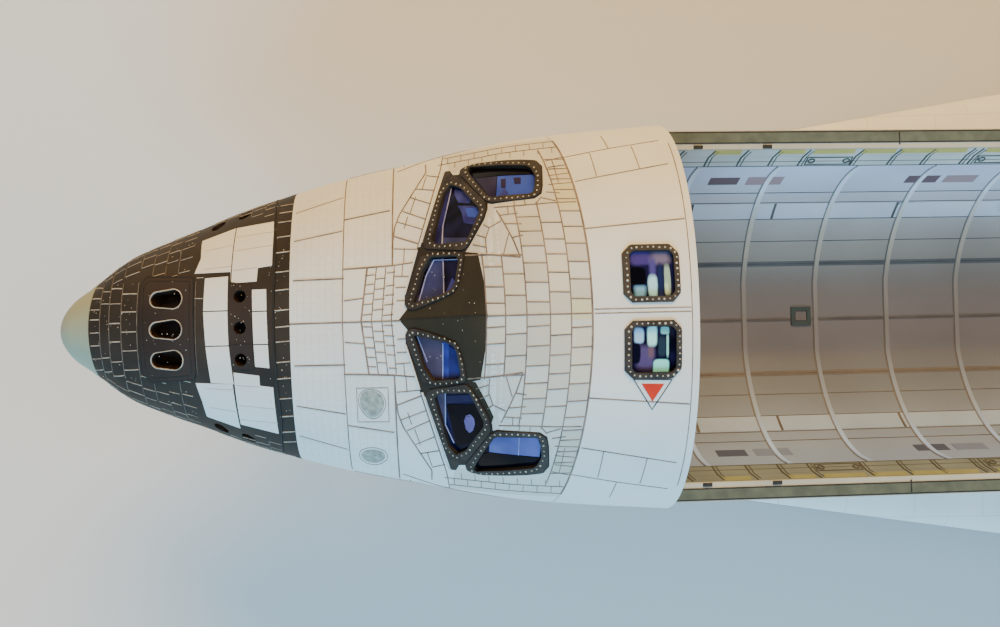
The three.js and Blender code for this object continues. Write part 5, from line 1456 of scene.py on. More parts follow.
# Each tick: its foot and head as a step along the bay and a share of the lip, its width and its height.
LIP_TICKS = (((-1.6, 0.05), (-0.8, 0.98), 1.0, 0.6), ((0.6, 0.05), (1.4, 0.98), 0.6, 0.5),
             ((-0.6, 1.02), (1.8, 1.88), 0.9, 0.6), ((1.6, 1.02), (3.6, 1.7), 0.4, 0.5))
LATCH = (674, 701)
YELLOW_DASHES = ((618, 634), (656, 671), (676, 700), (704, 724), (727, 766))
tick_parts, box_parts, bosses, dashes = [], [], [], []
dash_end = BAY_FRONT
for repeat in range(8):
    shift = SILL_PATTERN * repeat
    passed = TICKS_AT[-1] + shift - SILL_PATTERN + 5 if repeat else 0
    for x in TICKS_AT:
        if passed <= x + shift <= BAY_END - 4:
            for (foot, low), (head, high), width, top in LIP_TICKS:
                path = [(x + shift + foot, low), (x + shift + head, high)]
                tick_parts.append(bar(path, width, -0.1, top, lip))
    front, rear = LATCH[0] + shift, LATCH[1] + shift
    if rear < BAY_END - 4:
        inner = rectangle(front + 0.7, rear - 0.7, 0.22, 0.85)
        box_parts.append(slab(rectangle(front, rear, 0.15, 0.92), 0.1, 0.5, [inner], surface=lip,
                              cell=LIP_CELL))
        for x in (front + 3.2, rear - 3.2):
            bosses.append(lathe(rectangle(1.5, 2.2, -0.2, 0.5), *perch(lip, [(x, 0.55)], 0.2), 16,
                                closed=True))
    for front, rear in YELLOW_DASHES:
        if dash_end < front + shift and rear + shift < BAY_END - 4:
            dash_end = rear + shift + 2
            outline = rectangle(front + shift, rear + shift, 1.35, 1.9)
            dashes.append(slab(outline, 0.1, 0.45, surface=lip, cell=LIP_CELL))
for share, width in ((0.5, 0.4), (0.03, 0.7)):
    path = [(x, share) for x in np.linspace(BAY_FRONT + 1, BAY_END - 1, 30)]
    tick_parts.append(bar(path, width, -0.1, 0.35, lip))
pair("sill_ticks", tick_parts, TICK_PRINT, "sill_card")
pair("sill_latch_boxes", box_parts, TICK_PRINT, "sill_card")
pair("sill_latch_bosses", bosses, TICK_PRINT, "sill_card")
pair("sill_yellow_dashes", dashes, SILL_YELLOWS_PAINTED_LIGHT, "sill_card")
CLIP_FOOT = SILL_TOP - 0.4
clips = [block(about(x, 2.6), (93.2, 95.2), (CLIP_FOOT, SILL_TOP + 0.7)) for x in (608.5, 648.1)]
clips += [block(about(x, 0.35), (95, 102), (CLIP_FOOT, SILL_TOP + 0.45)) for x in (725, 868, 1010, 1153)]
pair("sill_clips", clips, BLACK_LINE, "sill_card")

# Bulkheads: stiffeners and a round hatch on the front one, a grid of stiffeners on the rear one.
BULKHEAD = card("bulkhead_card_looks", (0.5, 0.5, 0.47), (0.42, 0.42, 0.4))
FRONT_FACE, REAR_FACE = 581, 1307.2
HATCH_PROFILE = [(0.5, -0.5), (21, -0.5), (21, 1.6), (19, 2.2), (17.5, 1.2), (0.5, 1.2)]
stiff = [lathe(HATCH_PROFILE, (FRONT_FACE, 0, 372), (1, 0, 0), 48)]
stiff += [block((FRONT_FACE - 0.5, FRONT_FACE + 1.6), about(y, 0.9), (322, 470))
          for y in (-62, -44, -27, 27, 44, 62)]
stiff += [block((FRONT_FACE - 0.5, FRONT_FACE + 1.3), (-84, 84), about(z, 0.9)) for z in (345, 402, 430)]
piece("forward_bulkhead_trim", stiff, BULKHEAD, "bulkhead_card", sharp=30)
stiff = [block((REAR_FACE - 1.4, REAR_FACE + 0.5), about(y, 1), (322, 478)) for y in range(-72, 73, 18)]
stiff += [block((REAR_FACE - 1.1, REAR_FACE + 0.5), (-90, 90), about(z, 1)) for z in (330, 362, 402, 440)]
piece("aft_bulkhead_trim", stiff, BULKHEAD, "bulkhead_card", sharp=30)

# Tail: station, half width, bottom, waterline of the widest point, power of the lower half, crown.
TAIL = np.array([
    (1300, 103.5, 279, 401, 10, 501),
    (1420, 103.5, 279, 401, 10, 500),
    (1480, 103.5, 280, 401, 9, 498),
    (1525, 103, 283, 400, 8, 494),
])
TAIL_FRONT = 1312.4
TAIL_BASE = 1525
TAIL_POWER = 2.1


def tail_at(station, turn):
    widest = along(TAIL, 3, station)
    upper = np.cos(turn) >= 0
    sideways, upward = oval(turn, np.where(upper, TAIL_POWER, along(TAIL, 4, station)))
    rise = np.where(upper, along(TAIL, 5, station) - widest, widest - along(TAIL, 2, station))
    return np.stack([station, along(TAIL, 1, station) * sideways, widest + rise * upward], axis=-1)


tail = sheet(tail_at, steps=(0.05, 0.002))

# Engines: name, gimbal station, buttline, waterline, pitch, outward cant; and their outlines from the gimbal.
ENGINES = [("top", 1445, 0, 443, 16, 0), ("port", 1468, -53, 342.6, 10, -3.5),
           ("starboard", 1468, 53, 342.6, 10, 3.5)]
BELL = np.array([(72, 20), (84, 27), (100, 34), (122, 40), (157, 45.35)])
BELL_WALL = 2.6
DOME = [(0.5, 50), (33, 50), (33, 68), (32.6, 72), (31, 77), (28.5, 81), (25, 84), (0.5, 84)]
POD_NOZZLE = (1512, 89, 486, 15.8, 6.5)
POD_BELL = np.array([(24, 9), (34, 14.5), (48, 19.5), (70, 22.5)])


def engine_axis(pitch, cant):
    return Vector((1, math.tan(math.radians(cant)), math.tan(math.radians(pitch)))).normalized()


# Profile of the room round a bell: its points before the bell, the bell's outline with some air, and its end.
def bell_room(start, rows, steps, end):
    depths = np.linspace(rows[0, 0], rows[-1, 0], steps)
    return start + list(zip(along(rows, 1, depths) + 1.8, depths)) + [(0.5, end)]


# Hollow bell: smooth outside with raised bands, smooth inside.
def bell_parts(rows, wall, spot, axis, bands, sides=72):
    heights = np.linspace(rows[0, 0], rows[-1, 0], 30)
    radii = along(rows, 1, heights)
    outer = list(zip(radii, heights))
    inner = [(max(r - wall, 0.6), h) for r, h in zip(radii[::-1], heights[::-1]) if h > rows[0, 0] + wall + 4]
    profile = [(0.5, rows[0, 0])] + outer + inner + [(0.5, rows[0, 0] + wall + 4)]
    parts = [lathe(profile, spot, axis, sides)]
    for height, proud, half in bands:
        radius = float(along(rows, 1, height))
        before, after = (float(along(rows, 1, height + k * half)) for k in (-1, 1))
        ring = [(before - 0.4, height - half), (before + proud, height - half * 0.6),
                (radius + proud * 1.15, height), (after + proud, height + half * 0.6),
                (after - 0.4, height + half)]
        parts.append(lathe(ring, spot, axis, sides, closed=True))
    return parts


BELL_CARD = card("bell_card_looks", (0.33, 0.3, 0.28), (0.22, 0.2, 0.185), roughness=0.42, mottle=200)
BELL_INSIDE = card("bell_inside_card", (0.12, 0.11, 0.1), (0.07, 0.063, 0.06), roughness=0.5)
tail_stations = np.linspace(TAIL_FRONT, TAIL_BASE, 24)
half_turns = np.concatenate([np.linspace(0, math.pi / 2, 50, endpoint=False),
                             np.linspace(math.pi / 2, math.pi, 40)])
ring_turns = np.concatenate([half_turns, -half_turns[-2:0:-1]])
rings = [tail_at(np.full(len(ring_turns), x), ring_turns) for x in tail_stations]
tail_low = [bool(point[2] < BELLY_HEIGHT) for point in rings[0]]
tail_body = loft(rings, lambda k, i: 1 if tail_low[i] and tail_low[(i + 1) % len(tail_low)] else 0)
tail_parts, rooms = [tail_body], []
for name, station, y, z, pitch, cant in ENGINES:
    axis = engine_axis(pitch, cant)
    base_at = (TAIL_BASE - station) / math.cos(math.radians(pitch))
    tail_parts.append(lathe([(r, d + base_at - 70) for r, d in DOME], (station, y, z), axis, 64))
    rooms.append(lathe(bell_room([(0.5, 64)], BELL, 12, 160), (station, y, z), axis, 64))
    bands = [(h, 1.0, 1.3) for h in np.linspace(80, 148, 8)] + [(154.5, 1.0, 2.0)]
    piece(f"main_engine_bell_{name}", bell_parts(BELL, BELL_WALL, (station, y, z), axis, bands), BELL_CARD,
          "bell_card", replaces=[f"main_engine_{name}"], sharp=40)
tail_points, tail_faces = tail_body
tail_hub = len(tail_points) - 1
tail_faces = [(face, 2 if tail_hub in face else number) for face, number in tail_faces]
aft = mesh_of("aft_union", [(tail_points, tail_faces)], [SIDE_WHITE, BELLY, BASE])
for dome_part in tail_parts[1:]:
    cut(aft, [dome_part], BELL_CARD, "UNION")
for room in rooms:
    cut(aft, [room], BELL_INSIDE)
finished("aft_fuselage_skin", aft, "white_card", replaces=["aft_fuselage"])

# Pods on the shoulders: station, buttline, waterline, half width, half height.
POD = np.array([
    (1312, 79, 477.5, 2, 2),
    (1316, 79, 478, 8, 8),
    (1336, 80, 480, 20, 18),
    (1370, 83, 482, 32, 28),
    (1420, 86, 483, 42, 36),
    (1480, 88, 484, 47, 41),
    (1524, 89, 485, 46, 41),
    (1552, 90, 487, 41, 37),
])
POD_POWER = 2.4


def pod_at(station, turn):
    sideways, upward = oval(turn, POD_POWER)
    across = along(POD, 1, station) + along(POD, 3, station) * sideways
    return np.stack([station, across, along(POD, 2, station) + along(POD, 4, station) * upward], axis=-1)


pod = sheet(pod_at, steps=(0.05, 0.004))
pod_turns = np.linspace(0, math.tau, 96, endpoint=False)
POD_SPANS = np.concatenate([np.linspace(1312, 1336, 8), np.linspace(1342, 1552, 36)])
pod_body = loft([pod_at(np.full(96, x), pod_turns) for x in POD_SPANS])
spot, axis = POD_NOZZLE[:3], engine_axis(*POD_NOZZLE[3:])
pod_room = lathe(bell_room([(0.5, 10), (10.5, 10)], POD_BELL, 8, 72), spot, axis, 48)
inner_tail = loft([tail_at(np.full(len(ring_turns), x), ring_turns) for x in (1300, 1420, 1480, 1526.2)])
pair("oms_pod_skin", [pod_body], SIDE_WHITE, "white_card", replaces=["oms_pod_{}"],
     cutters=[([inner_tail], WHITE), ([pod_room], BELL_INSIDE)])
bands = [(h, 0.7, 1.0) for h in (36, 46, 56)] + [(68, 0.8, 1.6)]
pair("oms_nozzle_bell", bell_parts(POD_BELL, 2, spot, axis, bands, 60), BELL_CARD, "bell_card",
     replaces=["oms_nozzle_{}"], sharp=40)


# Rows across at some stations, and rows along at some turns.
def crossed(stations, across, turns, length):
    return [[(x, t) for t in across] for x in stations] + [[(x, t) for x in length] for t in turns]


# Joints on the tail and pods, and the small thrusters at the rear of each pod.
tail_rows = crossed((1350, 1395, 1440, 1485), np.linspace(1.05, 1.95, 20), (1.2, 1.72),
                    np.linspace(1316, 1521, 12))
seams("tail_joints", tail_rows, tail, BROWN_LINE)
pod_rows = crossed((1348, 1390, 1432, 1474, 1508), np.linspace(-0.5, 2.0, 30), (0.0, 0.8, 1.5),
                   np.linspace(1348, 1508, 16))
seams("pod_joints", pod_rows, pod, BROWN_LINE)
pod_panels = [slab(rectangle(1513, 1549, *turns), -0.3, 0.2, surface=pod)
              for turns in ((1.2, 1.95), (-0.3, 0.35))]
pair("pod_thruster_panels", pod_panels, TILE, "black_tile")
PORT_RING = rectangle(3.5, 4.2, -0.6, 0.5)
pod_ports = [lathe(PORT_RING, *perch(pod, [(x, t)], 0.2), 24, closed=True)
             for x in (1522, 1538) for t in (1.4, 1.75, -0.1, 0.18)]
pair("pod_thruster_rims", pod_ports, DIM_LINE, "black_tile", sharp=40)

# Wing: root and tip, hinge line, and the lines of its rear edge and underside.
WING_ROOT = 104.8
HINGE_STATION = 1387
DIHEDRAL = math.radians(3.5)
WING_KEEL = 281
REAR_ROOT, REAR_SWEEP = 1525.2, 0.1773
WING_SECTIONS = np.array([(104.8, 586, 56, 2.4), (107.2, 587.5, 56, 2.4), (170, 985, 56, 1.0),
                          (468, 1304, 16.6, 1.0)])
THICKEST = 0.3
EDGE_BAND = [(900, 173), (900, 146.8), (983, 160), (1005, 170), (1326, 470), (1326, 492), (1262, 492),
             (950, 182)]
COVE_CLEAR = 1.9


def rear_edge(y):
    return REAR_ROOT - REAR_SWEEP * y


def airfoil(s):
    return 10 * (0.2969 * np.sqrt(s) - 0.126 * s - 0.3516 * s ** 2 + 0.2843 * s ** 3 - 0.1015 * s ** 4)


# Point of the wing: the share is 0 at the leading edge and 1 on the hinge line.
def wing_at(share, y, upper):
    share, y = np.asarray(share, float), np.asarray(y, float)
    k = np.clip(np.searchsorted(WING_SECTIONS[:, 0], y, side="right") - 1, 0, len(WING_SECTIONS) - 2)
    inner, outer = WING_SECTIONS[k], WING_SECTIONS[k + 1]
    weight = (y - inner[..., 0]) / (outer[..., 0] - inner[..., 0])
    point = 0
    for row, part_of in ((inner, 1 - weight), (outer, weight)):
        edge_y, front, thick, shift = (row[..., i] for i in range(4))
        station = front + (HINGE_STATION - front) * share
        s = np.clip((station - front) / (rear_edge(edge_y) - front), 0, 1) ** shift
        depth = thick * np.minimum(1, airfoil(s))
        low = WING_KEEL + (edge_y - WING_ROOT) * math.tan(DIHEDRAL)
        low = low + np.where(s < THICKEST, 0.4 * (thick - depth), 0)
        corner = np.stack([station, edge_y, low + depth if upper else low], axis=-1)
        point = point + part_of[..., None] * corner
    return point


def wing_surface(upper):
    def at(station, y):
        front = np.interp(y, WING_SECTIONS[:, 0], WING_SECTIONS[:, 1])
        return wing_at((station - front) / (HINGE_STATION - front), y, upper)
    return at


wing_top = sheet(wing_surface(True), steps=(0.2, 0.2))

# Upper and lower faces of one wing; the row where they turn over is the leading edge.
CHORD_STEPS = 44
shares = 1 - np.cos(np.linspace(0, math.pi / 2, CHORD_STEPS))
spans = np.concatenate([[104.8], np.linspace(107.2, 170, 16, endpoint=False), np.linspace(170, 468, 48)])
wing_rings = []
for y in spans:
    upper = wing_at(shares[::-1], np.full(CHORD_STEPS, y), True)
    lower = wing_at(shares[1:], np.full(CHORD_STEPS - 1, y), False)
    wing_rings.append(np.concatenate([upper, lower]))
wing_body = loft(wing_rings, lambda k, i: 1 if CHORD_STEPS - 3 <= i < 2 * CHORD_STEPS - 2 else 0)


# Hinge frame: along the span, aft, and square to both.
HINGE_RADIUS = 15.5


def hinge_radius(span):
    return HINGE_RADIUS - 0.026 * (span - 109)


def hinge_point(span, aft, up):
    height = WING_KEEL + HINGE_RADIUS + (span - WING_ROOT) * math.tan(DIHEDRAL)
    return HINGE_STATION + aft, span - up * math.sin(DIHEDRAL), height + up * math.cos(DIHEDRAL)


def cove_section(radius, up, down):
    curve = arc(radius, 92 + up, 268 - down, 24)
    return [(160, 60), (curve[0][0], 60)] + curve + [(curve[-1][0], -60), (160, -60)]


cove = bridge(*[[hinge_point(span, aft, up)
                 for aft, up in cove_section(hinge_radius(span) + COVE_CLEAR, 35, 20)]
                for span in (100, 480)])
EDGE_GREY = card("edge_card_looks", (0.27, 0.265, 0.26), (0.2, 0.197, 0.193), roughness=0.5)
MAIN_WELL = ((1060, 1190), (112, 172), (240, 324.5))
# How the outline of the band's room parts from the band, as shares of the seam.
ROOM_SHIFTS = [(-1, 0), (-1, -1), (1, -1), (1, -1), (1, -1), (0, 0), (0, 0), (0, 0)]
EDGE_ROOM = [(x + SEAM_GAP * a, y + SEAM_GAP * b) for (x, y), (a, b) in zip(EDGE_BAND, ROOM_SHIFTS)]
pair("wing_skin", [wing_body], [WING_WHITE, BELLY], "white_card", replaces=["wing_{}"], sharp=28,
     cutters=[([cove], WHITE), ([block(*MAIN_WELL)], BULKHEAD),
              ([upright_prism(EDGE_ROOM, 230, 400)], WHITE)])
for side_name, sign in SIDES.items():
    band = mesh_of("edge", facing([wing_body], sign), [EDGE_GREY, EDGE_GREY])
    cut(band, facing([upright_prism(EDGE_BAND, 230, 400)], sign), EDGE_GREY, "INTERSECT")
    cut(band, facing([cove], sign), EDGE_GREY)
    finished(f"leading_edge_skin_{side_name}", band, "edge_card", replaces=[f"wing_leading_edge_{side_name}"])

# Joints on top of the wing, clear of the leading edge.
WING_JOINTS = [[(x, y), (1376, y)]
               for x, y in ((1030, 185), (1112, 250), (1180, 312), (1262, 390), (760, 109))]
WING_JOINTS += [[(1030, 150), (1030, 185), (1318, 448)], [(1120, 112), (1120, 185), (1352, 390)],
                [(1340, 112), (1340, 440)]]
seams("wing_joints", [fine(row, 6) for row in WING_JOINTS], wing_top, FAINT_LINE)


# Round nosed wedge on a hinge, from its nose to a thin trailing edge.
def wedge(radius, chord, trail, rise, steps=20):
    return arc(radius, 90, 270, steps) + [(chord, rise - trail / 2), (chord, rise + trail / 2)]


NOSE_STEPS = 20


def elevon_ring(span):
    radius = hinge_radius(span)
    section = wedge(radius, rear_edge(span) - HINGE_STATION, 2.4, -0.4 * radius, NOSE_STEPS)
    return [hinge_point(span, aft, up) for aft, up in section]


# Black tiles on the lower faces of the wedge.
def wedge_belly(k, i):
    return 1 if NOSE_STEPS // 2 <= i <= NOSE_STEPS else 0


for name, inner, outer in (("inboard", 109, 311.5), ("outboard", 313.5, 466.5)):
    body_part = loft([elevon_ring(span) for span in np.linspace(inner, outer, 12)], wedge_belly)
    pair(f"elevon_{name}_skin", [body_part], [WING_WHITE, BELLY], "white_card", body=f"elevon_{name}_{{}}",
         replaces=[f"elevon_{name}_{{}}"], sharp=30)

# Body flap.
FLAP = {"hinge": 1536, "height": 290, "half": 105.5, "radius": 8.5, "chord": 77}
flap_section = wedge(FLAP["radius"], FLAP["chord"], 3, -3, NOSE_STEPS)
flap_rings = [[(FLAP["hinge"] + aft, y, FLAP["height"] + up) for aft, up in flap_section]
              for y in np.linspace(-FLAP["half"], FLAP["half"], 12)]
piece("body_flap_skin", [loft(flap_rings, wedge_belly)], [WHITE, BELLY], "belly_card", body="body_flap",
      replaces=["body_flap"], sharp=30)

# Fin: station and waterline lines of its side view, and its half thickness along the chord.
FIN = {"foot": 501.6, "tip": 816, "nose": (1313, 1593.6), "rear": (1546.5, 1702), "thick": 0.094}
FIN_SHARES = np.array([(0, 0.06), (0.015, 0.22), (0.08, 0.52), (0.25, 0.86), (0.5, 1), (0.75, 0.72),
                       (1, 0.3)])
RUDDER = {"low": 594, "high": 791, "chord": (91.6, 50.8), "swing": 27}
CHUTE = np.array([(1474, 0.5, 0.5), (1478, 3, 4), (1500, 10, 12), (1535, 12.5, 15), (1572, 13, 16)])
CHUTE_HEIGHT = 541


def fin_line(z, ends):
    return ends[0] + (z - FIN["foot"]) / (FIN["tip"] - FIN["foot"]) * (ends[1] - ends[0])


def fin_at(station, z):
    nose, rear = fin_line(z, FIN["nose"]), fin_line(z, FIN["rear"])
    half = (rear - nose) * FIN["thick"] / 2
    return np.stack([station, along(FIN_SHARES, 1, (station - nose) / (rear - nose)) * half, z], axis=-1)


fin_side = sheet(fin_at, side=-1, steps=(0.2, 0.2))


def fin_ring(z):
    nose, rear = fin_line(z, FIN["nose"]), fin_line(z, FIN["rear"])
    stations = nose + (rear - nose) * (1 - np.cos(np.linspace(0, math.pi / 2, 30)))
    side = fin_at(stations, np.full(30, z))
    return np.concatenate([side, side[::-1] * (1, -1, 1)])


def rudder_hinge(z):
    t = (z - RUDDER["low"]) / (RUDDER["high"] - RUDDER["low"])
    return fin_line(z, FIN["rear"]) - (RUDDER["chord"][0] + t * (RUDDER["chord"][1] - RUDDER["chord"][0]))


hinge_foot = Vector((rudder_hinge(RUDDER["low"]), 0, RUDDER["low"]))
hinge_head = Vector((rudder_hinge(RUDDER["high"]), 0, RUDDER["high"]))
hinge_up = (hinge_head - hinge_foot).normalized()
hinge_aft = Vector((hinge_up.z, 0, -hinge_up.x))
HINGE_LENGTH = (hinge_head - hinge_foot).length


def rudder_point(reach, aft, side):
    spot = hinge_foot + hinge_up * reach + hinge_aft * aft
    return (spot.x, side, spot.z)


def rudder_size(reach):
    z = RUDDER["low"] + reach * hinge_up.z
    chord = fin_line(z, FIN["rear"]) - fin_line(z, FIN["nose"])
    return chord * FIN["thick"] * 0.4, (fin_line(z, FIN["rear"]) - rudder_hinge(z)) * hinge_up.z * 0.93


def rudder_cove(reach):
    section = cove_section(rudder_size(reach)[0] + COVE_CLEAR, RUDDER["swing"], RUDDER["swing"])
    return [rudder_point(reach, aft, side) for aft, side in section]


rudder_rings = []
for reach in np.linspace(6, HINGE_LENGTH - 3, 14):
    radius, chord = rudder_size(reach)
    rudder_rings.append([rudder_point(reach, aft, side)
                         for aft, side in wedge(radius, chord, 2.4, 0, NOSE_STEPS)])
piece("rudder_skin", [loft(rudder_rings)], FIN_WHITE, "white_card", body="rudder", replaces=["rudder"],
      sharp=30)
fin_cove = bridge(*[rudder_cove(reach) for reach in (-6 * hinge_up.x / hinge_up.z, HINGE_LENGTH + 6)])
fin_mesh = mesh_of("fin_union", [loft([fin_ring(z) for z in np.linspace(497, FIN["tip"], 28)])], [FIN_WHITE])
chute_rings = [[(x, along(CHUTE, 1, x) * math.sin(a), CHUTE_HEIGHT + along(CHUTE, 2, x) * math.cos(a))
                for a in np.linspace(0, math.tau, 40, endpoint=False)] for x in np.linspace(1474, 1572, 30)]
cut(fin_mesh, [loft(chute_rings)], WHITE, "UNION")
cut(fin_mesh, [rooms[0]], BELL_INSIDE)
cut(fin_mesh, [fin_cove], WHITE)
finished("fin_skin", fin_mesh, "white_card", replaces=["fin"])
fin_rows = [[(x, z) for x in np.linspace(fin_line(z, FIN["nose"]) + 18, rudder_hinge(z) - 16, 10)]
            for z in (610, 650, 690, 730, 770)]
fin_rows.append([(fin_line(z, FIN["nose"]) + 18, z) for z in np.linspace(530, 806, 20)])
fin_rows.append([(rudder_hinge(z) - 16, z) for z in np.linspace(600, 786, 14)])
seams("fin_joints", fin_rows, fin_side, BROWN_LINE)

# Gear: station, buttline, tyre radius and width, half spacing of the
# twins, hub, axle, leg and sleeve radii, top, brace foot.
NOSE_GEAR = {"x": 364, "y": 0, "tyre": 16, "width": 8.8, "twin": 11, "hub": 8.6, "axle": 2.5, "leg": 4.6,
             "sleeve": 5.2, "top": 326.1, "brace": (306, 0, 323)}
MAIN_GEAR = {"x": 1176, "y": 137, "tyre": 22.25, "width": 16, "twin": 18.5, "hub": 12, "axle": 3, "leg": 6,
             "sleeve": 9, "top": 319.6, "brace": (1084, 137, 314)}
LEG_CARD = card("leg_card_looks", (0.62, 0.62, 0.6), (0.54, 0.54, 0.52), roughness=0.4, mottle=200)
HUB_CARD = card("hub_card_looks", (0.52, 0.52, 0.5), (0.42, 0.42, 0.4), roughness=0.45, mottle=300)
TYRE_CARD = card("tyre_card_looks", (0.035, 0.034, 0.033), (0.022, 0.021, 0.021), roughness=0.75, mottle=900)


def rod(start, end, radius, sides=24):
    start, end = Vector(start), Vector(end)
    length, edge = (end - start).length, radius * 0.1
    profile = [(radius * 0.94, 0), (radius, edge), (radius, length - edge), (radius * 0.94, length)]
    return lathe(profile, start, end - start, sides)


def leg_parts(gear):
    x, y, leg, half = gear["x"], gear["y"], gear["leg"], gear["sleeve"]
    axle = GROUND + gear["tyre"]
    parts = [rod((x, y, axle + 58), (x, y, gear["top"]), leg, 32),
             rod((x, y, axle), (x, y, axle + 60), leg * 0.72, 32)]
    collar = [(leg * 0.7, 0), (leg * 1.16, 0.6), (leg * 1.16, 5), (leg * 0.7, 5.6)]
    parts.append(lathe(collar, (x, y, axle + 56), (0, 0, 1), 32))
    bore = gear["axle"] + 0.36
    sleeve = [(bore, -half), (bore + 2.6, -half), (bore + 2.84, 0.6 - half), (bore + 2.84, half - 0.6),
              (bore + 2.6, half), (bore, half)]
    parts.append(lathe(sleeve, (x, y, axle), (0, 1, 0), 40, closed=True))
    brace = Vector(gear["brace"])
    parts.append(rod((x, y, axle + 78), brace, leg * 0.42, 20))
    middle = (Vector((x, y, axle + 78)) + brace) / 2
    parts.append(rod(middle - Vector((0, 2.6, 0)), middle + Vector((0, 2.6, 0)), leg * 0.6, 20))
    knee, knee_height = x + leg * 2.6, axle + 34
    for side in (-1, 1):
        for height in (57, 10):
            shoulder = (x + leg * 0.4, y + side * leg * 0.45, axle + height)
            parts.append(rod(shoulder, (knee, y + side * 0.8, knee_height), 1.1, 12))
    parts.append(rod((knee, y - 2.2, knee_height), (knee, y + 2.2, knee_height), 1.5, 14))
    pipe_x, pipe_y = x - leg * 1.25, y - leg * 0.5
    parts.append(rod((pipe_x, pipe_y, axle + 8), (pipe_x, pipe_y, gear["top"] - 12), 0.7, 10))
    return parts


def hub_parts(gear):
    x, y, hub, twin, half = gear["x"], gear["y"], gear["hub"], gear["twin"], gear["width"] / 2
    axle = GROUND + gear["tyre"]
    inner, outer = twin - half, twin + half
    parts = [rod((x, y - inner - 2, axle), (x, y + inner + 2, axle), gear["axle"], 32)]
    profile = [(0.3, inner + 0.2), (gear["axle"] + 3, inner + 0.2), (hub, inner + 1.6), (hub, outer - 1.4),
               (hub * 0.93, outer - 0.9), (hub * 0.86, outer - 1.4), (hub * 0.8, outer - 3.2),
               (hub * 0.45, outer - 2.8), (hub * 0.36, outer - 0.9), (hub * 0.3, outer - 0.6),
               (0.3, outer - 0.6)]
    for side in (-1, 1):
        parts.append(lathe(profile, (x, y, axle), (0, side, 0), 56))
        for across, up in arc(hub * 0.62, 0, 360, 10)[:-1]:
            centre = (x + across, y + side * (outer - 3.0), axle + up)
            parts.append(lathe([(0.08 * hub, -0.3), (0.08 * hub, 0.7), (0.05 * hub, 0.9)], centre,
                               (0, side, 0), 8))
    return parts


def tyre_part(gear, middle):
    half, radius, hub = gear["width"] / 2, gear["tyre"], gear["hub"]
    profile = [(hub + 0.25, -half * 0.72), (hub + 0.9, -half * 0.86)]
    for i in range(15):
        a = math.radians(-72 + 144 * i / 14)
        share = abs(math.sin(a)) ** 1.15
        profile.append((radius - (radius - hub) * 0.42 * share ** 2.6, half * math.copysign(share, a) * 1.03))
    profile += [(hub + 0.9, half * 0.86), (hub + 0.25, half * 0.72)]
    return lathe(profile, (gear["x"], middle, GROUND + radius), (0, 1, 0), 72, closed=True)


def grooves(gear, middle):
    radius = gear["tyre"]
    spot = (gear["x"], middle, GROUND + radius)
    return [lathe(rectangle(radius - 0.7, radius + 1, y - 0.35, y + 0.35), spot, (0, 1, 0), 72, closed=True)
            for y in (-gear["width"] * 0.22, 0.0, gear["width"] * 0.22)]


def tyre(name, gear, middle, body, node):
    piece(name, [tyre_part(gear, middle)], TYRE_CARD, "tyre_card", body=body, replaces=[node], sharp=45,
          cutters=[(grooves(gear, middle), TYRE_CARD)])


piece("nose_leg", leg_parts(NOSE_GEAR), LEG_CARD, "leg_card", replaces=["nose_strut"], sharp=40)
pair("main_leg", leg_parts(MAIN_GEAR), LEG_CARD, "leg_card", replaces=["main_strut_{}"], sharp=40)
piece("nose_wheel_discs", hub_parts(NOSE_GEAR), HUB_CARD, "hub_card", body="nose_wheels",
      replaces=["nose_hubs"], sharp=30)
pair("main_wheel_discs", hub_parts(MAIN_GEAR), HUB_CARD, "hub_card", body="main_wheels_{}",
     replaces=["main_hubs_{}"], sharp=30)
for side_name, sign in SIDES.items():
    tyre(f"nose_tyre_ring_{side_name}", NOSE_GEAR, sign * NOSE_GEAR["twin"], "nose_wheels",
         f"nose_tyre_{side_name}")
    for place_name, out in (("outer", 1), ("inner", -1)):
        middle = sign * (MAIN_GEAR["y"] + out * MAIN_GEAR["twin"])
        tyre(f"main_tyre_ring_{place_name}_{side_name}", MAIN_GEAR, middle, f"main_wheels_{side_name}",
             f"main_tyre_{place_name}_{side_name}")


# CAD pieces that stay in sight get a finished material.
def dress(material, *names):
    for name in names:
        for place_slot in bpy.data.objects[name].material_slots:
            place_slot.material = material


WELLS = ("nose_wheel_well", "main_wheel_well_starboard", "main_wheel_well_port")
dress(BULKHEAD, "forward_bulkhead", "aft_bulkhead", *WELLS)
dress(BELLY, *[f"{gear}_gear_door_{side}" for gear in ("nose", "main") for side in SIDES])

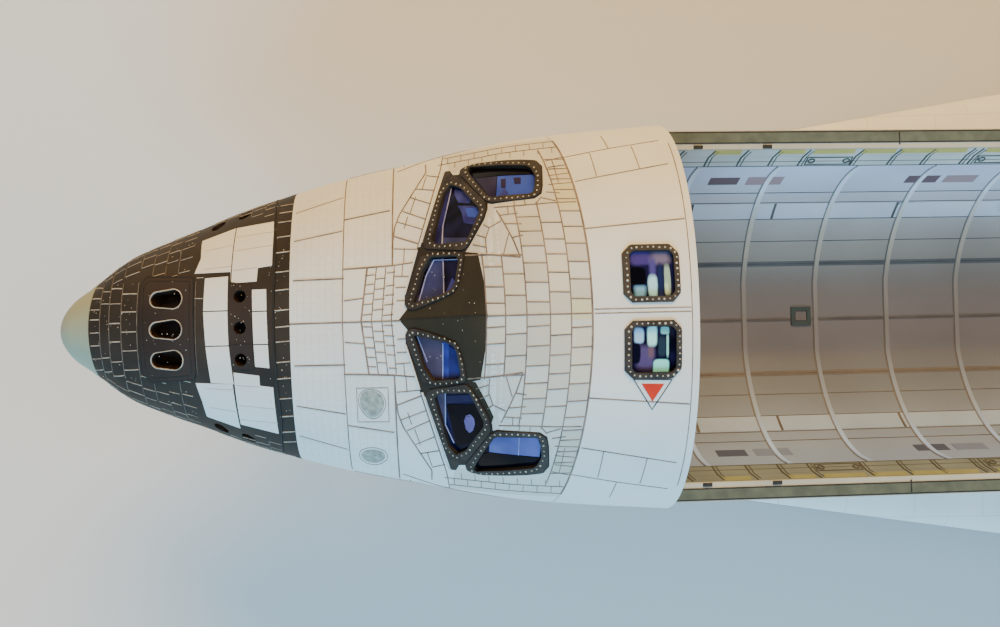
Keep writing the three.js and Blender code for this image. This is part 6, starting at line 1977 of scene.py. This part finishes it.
# Camera, light and floor.
camera = bpy.data.objects.new("camera", bpy.data.cameras.new("camera"))
bpy.context.scene.collection.objects.link(camera)
turn_x, turn_y, turn_z = (math.radians(a) for a in CAMERA_TURNS)
turn = Matrix.Rotation(turn_z, 3, "Z") @ Matrix.Rotation(turn_y, 3, "Y") @ Matrix.Rotation(turn_x, 3, "X")
camera.matrix_world = Matrix.Translation(place([CAMERA_PLACE])[0]) @ turn.to_4x4()
camera.data.sensor_width = SENSOR_MM
camera.data.lens = FOCAL_PIXELS / PHOTO_WIDTH * SENSOR_MM
camera.data.clip_start = 0.005
bpy.context.scene.camera = camera


def area_light(name, spot, aim, size, watts, colour):
    data = bpy.data.lights.new(name, "AREA")
    data.shape = "DISK"
    data.size = size
    data.energy = watts
    data.color = colour
    lamp = bpy.data.objects.new(name, data)
    lamp.location = spot
    lamp.rotation_euler = (Vector(aim) - Vector(spot)).to_track_quat("-Z", "Y").to_euler()
    bpy.context.scene.collection.objects.link(lamp)


AIM = (-0.05, 0.0, 0.06)
area_light("warm_light", (-0.05, 0.75, 0.75), AIM, 0.6, 19.5, (1.0, 0.63, 0.2))
area_light("cool_light", (-0.25, -0.8, 0.6), AIM, 0.7, 18.5, (0.3, 0.68, 1.0))
area_light("top_light", (0.2, 0.0, 1.1), AIM, 0.5, 2.8, (0.95, 0.98, 1.0))
world = bpy.data.worlds.new("studio")
world.use_nodes = True
world.node_tree.nodes["Background"].inputs["Color"].default_value = (0.9, 0.93, 1.0, 1)
world.node_tree.nodes["Background"].inputs["Strength"].default_value = 0.24
bpy.context.scene.world = world

FLOOR_HALF = 8
floor_mesh = bpy.data.meshes.new("floor")
floor_mesh.from_pydata([(x, y, 0) for x, y in ((-1, -1), (1, -1), (1, 1), (-1, 1))], [], [(0, 1, 2, 3)])
floor_mesh.transform(Matrix.Scale(FLOOR_HALF, 4))
floor = bpy.data.objects.new("floor", floor_mesh)
floor_mesh.materials.append(card("floor_card", (0.62, 0.61, 0.59), (0.58, 0.57, 0.555), mottle=4.0,
                                 grain=0.05))
bpy.context.scene.collection.objects.link(floor)
